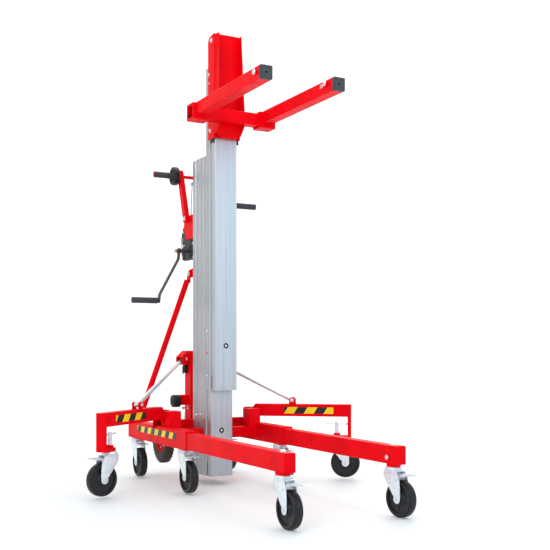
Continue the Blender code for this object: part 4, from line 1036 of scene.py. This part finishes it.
def add_outrigger_bolts(word, side):
    """Bolts of the hinge, of the stay's lower clevis and of its upper end at the sliding head."""
    hinge = through_bolt(side, 0.015, ARM_DEEP / 2 + 0.0118, 0.352, 0.0170, 0.0060)
    ahead = Vector((-side * sin(SPLAY), -cos(SPLAY), 0))
    for along, z in ((-0.020, 0.297), (0.020, 0.304)):
        merge(hinge, dome_bolt(arm_point(side, along, -0.0053, z), ahead, 0.0050, 0.0026))
        merge(hinge, dome_bolt(arm_point(side, along - 0.004, ARM_DEEP + 0.0053, z), -ahead, 0.0050, 0.0026))
    put("hinge_bolts_" + word, hinge, "chassis", [CHROME])
    clevis = through_bolt(side, 0.219, 0.0249, 0.413, 0.0110, 0.0042)
    put("clevis_bolt_" + word, clevis, "outrigger_" + word, [CHROME])
    head_pin = 0.100 - ARM_START_X * cos(SPLAY) - (0.4236 - ARM_START_Y) * sin(SPLAY)
    put("head_bolt_" + word, through_bolt(side, head_pin, 0.0219, 0.6285, 0.0110, 0.0040), "stay_head", [CHROME])


def add_screw_thread(word, side):
    """The jack screw's thread, fine enough for the arm's bore, and the rounded tips of its cross handle."""
    axis = arm_point(side, SCREW_ALONG, ARM_DEEP / 2, 0)
    radius = 0.0091
    thread = bmesh.new()
    for low, turns in ((0.2465, 11), (0.2956, 1)):
        points = helix(low, 0.0034, turns, 20, lambda angle, z: (
            axis.x + radius * cos(angle), axis.y + radius * sin(angle), z))
        merge(thread, wire(points, 0.0010, 6))
    bar_yaw = radians((-SPLAY_DEGREES if side > 0 else SPLAY_DEGREES - 180) - side * 8)
    along = Vector((cos(bar_yaw), sin(bar_yaw), 0))
    tip = [(0, -0.004), (0.0046, -0.004), (0.0052, -0.003), (0.0052, 0.002), (0.0040, 0.0034), (0, 0.0036)]
    for sign in (-1, 1):
        place = axis + Vector((0, 0, 0.291)) + along * sign * 0.053
        merge(thread, lathe(tip, 24), seat(place, along * sign))
    put("screw_thread_" + word, thread, "jack_screw_" + word, [ZINC])


def add_leg_details(word, side):
    """The leg's two end bolts, and a black disc in each hole of its sides, painted shade that makes each hole look
    dark.
    """
    leg = dome_bolt((side * LEG_X, -1.043, 0.2888), (0, 0, 1), 0.0128, 0.0100)
    merge(leg, hex_bolt((side * 0.2273, -1.040, 0.240), (-side, 0, 0), 0.0120, 0.0046))
    put("leg_bolts_" + word, leg, "leg_" + word, [CHROME])
    # Painted shade: a black disc set into each hole stands in for the dark inside it
    shade_discs = bmesh.new()
    rim = [(0, -0.0032), (0.0041, -0.0032), (0.0041, -0.0004), (0.0036, 0.0003), (0.0030, -0.0006),
           (0.0028, -0.0020), (0, -0.0020)]
    for y in (-0.435, -0.721, -1.001):
        for face in (-1, 1):
            merge(shade_discs, lathe(rim, 24), seat((side * LEG_X + face * 0.0254, y, 0.2547), (face, 0, 0)))
    put("hole_shade_discs_" + word, shade_discs, "leg_" + word, [BLACK])


def add_post_details():
    """The post's black latch and the lock pin with its button and collar."""
    shape = block((0.0200, 0.0250, 0.0480), (-0.0502, 0.398, 0.583), 0.0030)
    merge(shape, block((0.0040, 0.0110, 0.0420), (-0.0615, 0.402, 0.568), 0.0014))
    merge(shape, block((0.0130, 0.0300, 0.0050), (-0.0480, 0.398, 0.5560), 0.0016))
    put("post_latch", shape, "chassis", [BLACK])
    pin = wire([(-0.0385, *LOCK_PIN), (-0.0700, *LOCK_PIN)], 0.0046, 20)
    button = lathe([(0, 0), (0.0078, 0), (0.0086, 0.0012), (0.0086, 0.0042), (0.0070, 0.0056), (0, 0.0060)], 28)
    collar = lathe([(0.0048, 0), (0.0092, 0), (0.0092, 0.0022), (0.0048, 0.0022)], 28, closed=True)
    merge(pin, button, seat((-0.0690, *LOCK_PIN), (-1, 0, 0)))
    merge(pin, collar, seat((-0.0401, *LOCK_PIN), (-1, 0, 0)))
    put("lock_pin", pin, "chassis", [CHROME])


def add_lanyard():
    """The white lanyard that keeps the lock pin: from the pin's shank down to the wheel bracket."""
    start, end = Vector((-0.0640, 0.384, 0.3660)), Vector((-0.0722, 0.385, 0.2580))
    bends = (start, Vector((-0.0655, 0.380, 0.3300)), Vector((-0.0560, 0.356, 0.2560)), end)
    points = []
    steps = 30
    for k in range(steps + 1):
        t = k / steps
        weights = ((1 - t) ** 3, 3 * t * (1 - t) ** 2, 3 * t * t * (1 - t), t ** 3)
        points.append(at() @ sum((p * w for p, w in zip(bends, weights)), Vector((0, 0, 0))))
    data = bpy.data.curves.new("lanyard", "CURVE")
    data.dimensions = "3D"
    diameter = 0.003
    data.bevel_depth = diameter / 2
    data.bevel_resolution = 4
    data.use_fill_caps = True
    spline = data.splines.new("POLY")
    spline.points.add(len(points) - 1)
    for point, place in zip(spline.points, points):
        point.co = (*place, 1)
    data.materials.append(PALE)
    cord = new_object("lanyard", data)
    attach(cord, "chassis")


def main():
    add_camera()
    add_lanyard()
    add_studio()
    dress_nodes()
    add_casters()
    add_wheels_and_grips()
    add_hazard_stripes()
    add_mast_ribs()
    add_mast_plugs()
    add_mast_bolts()
    add_carriage_details()
    add_fork_details()
    add_winch_cover_details()
    add_winch_bolts()
    add_crank_nuts()
    add_drum_details()
    for word, side in SIDES:
        add_outrigger_bolts(word, side)
        add_screw_thread(word, side)
        add_leg_details(word, side)
    add_post_details()


main()
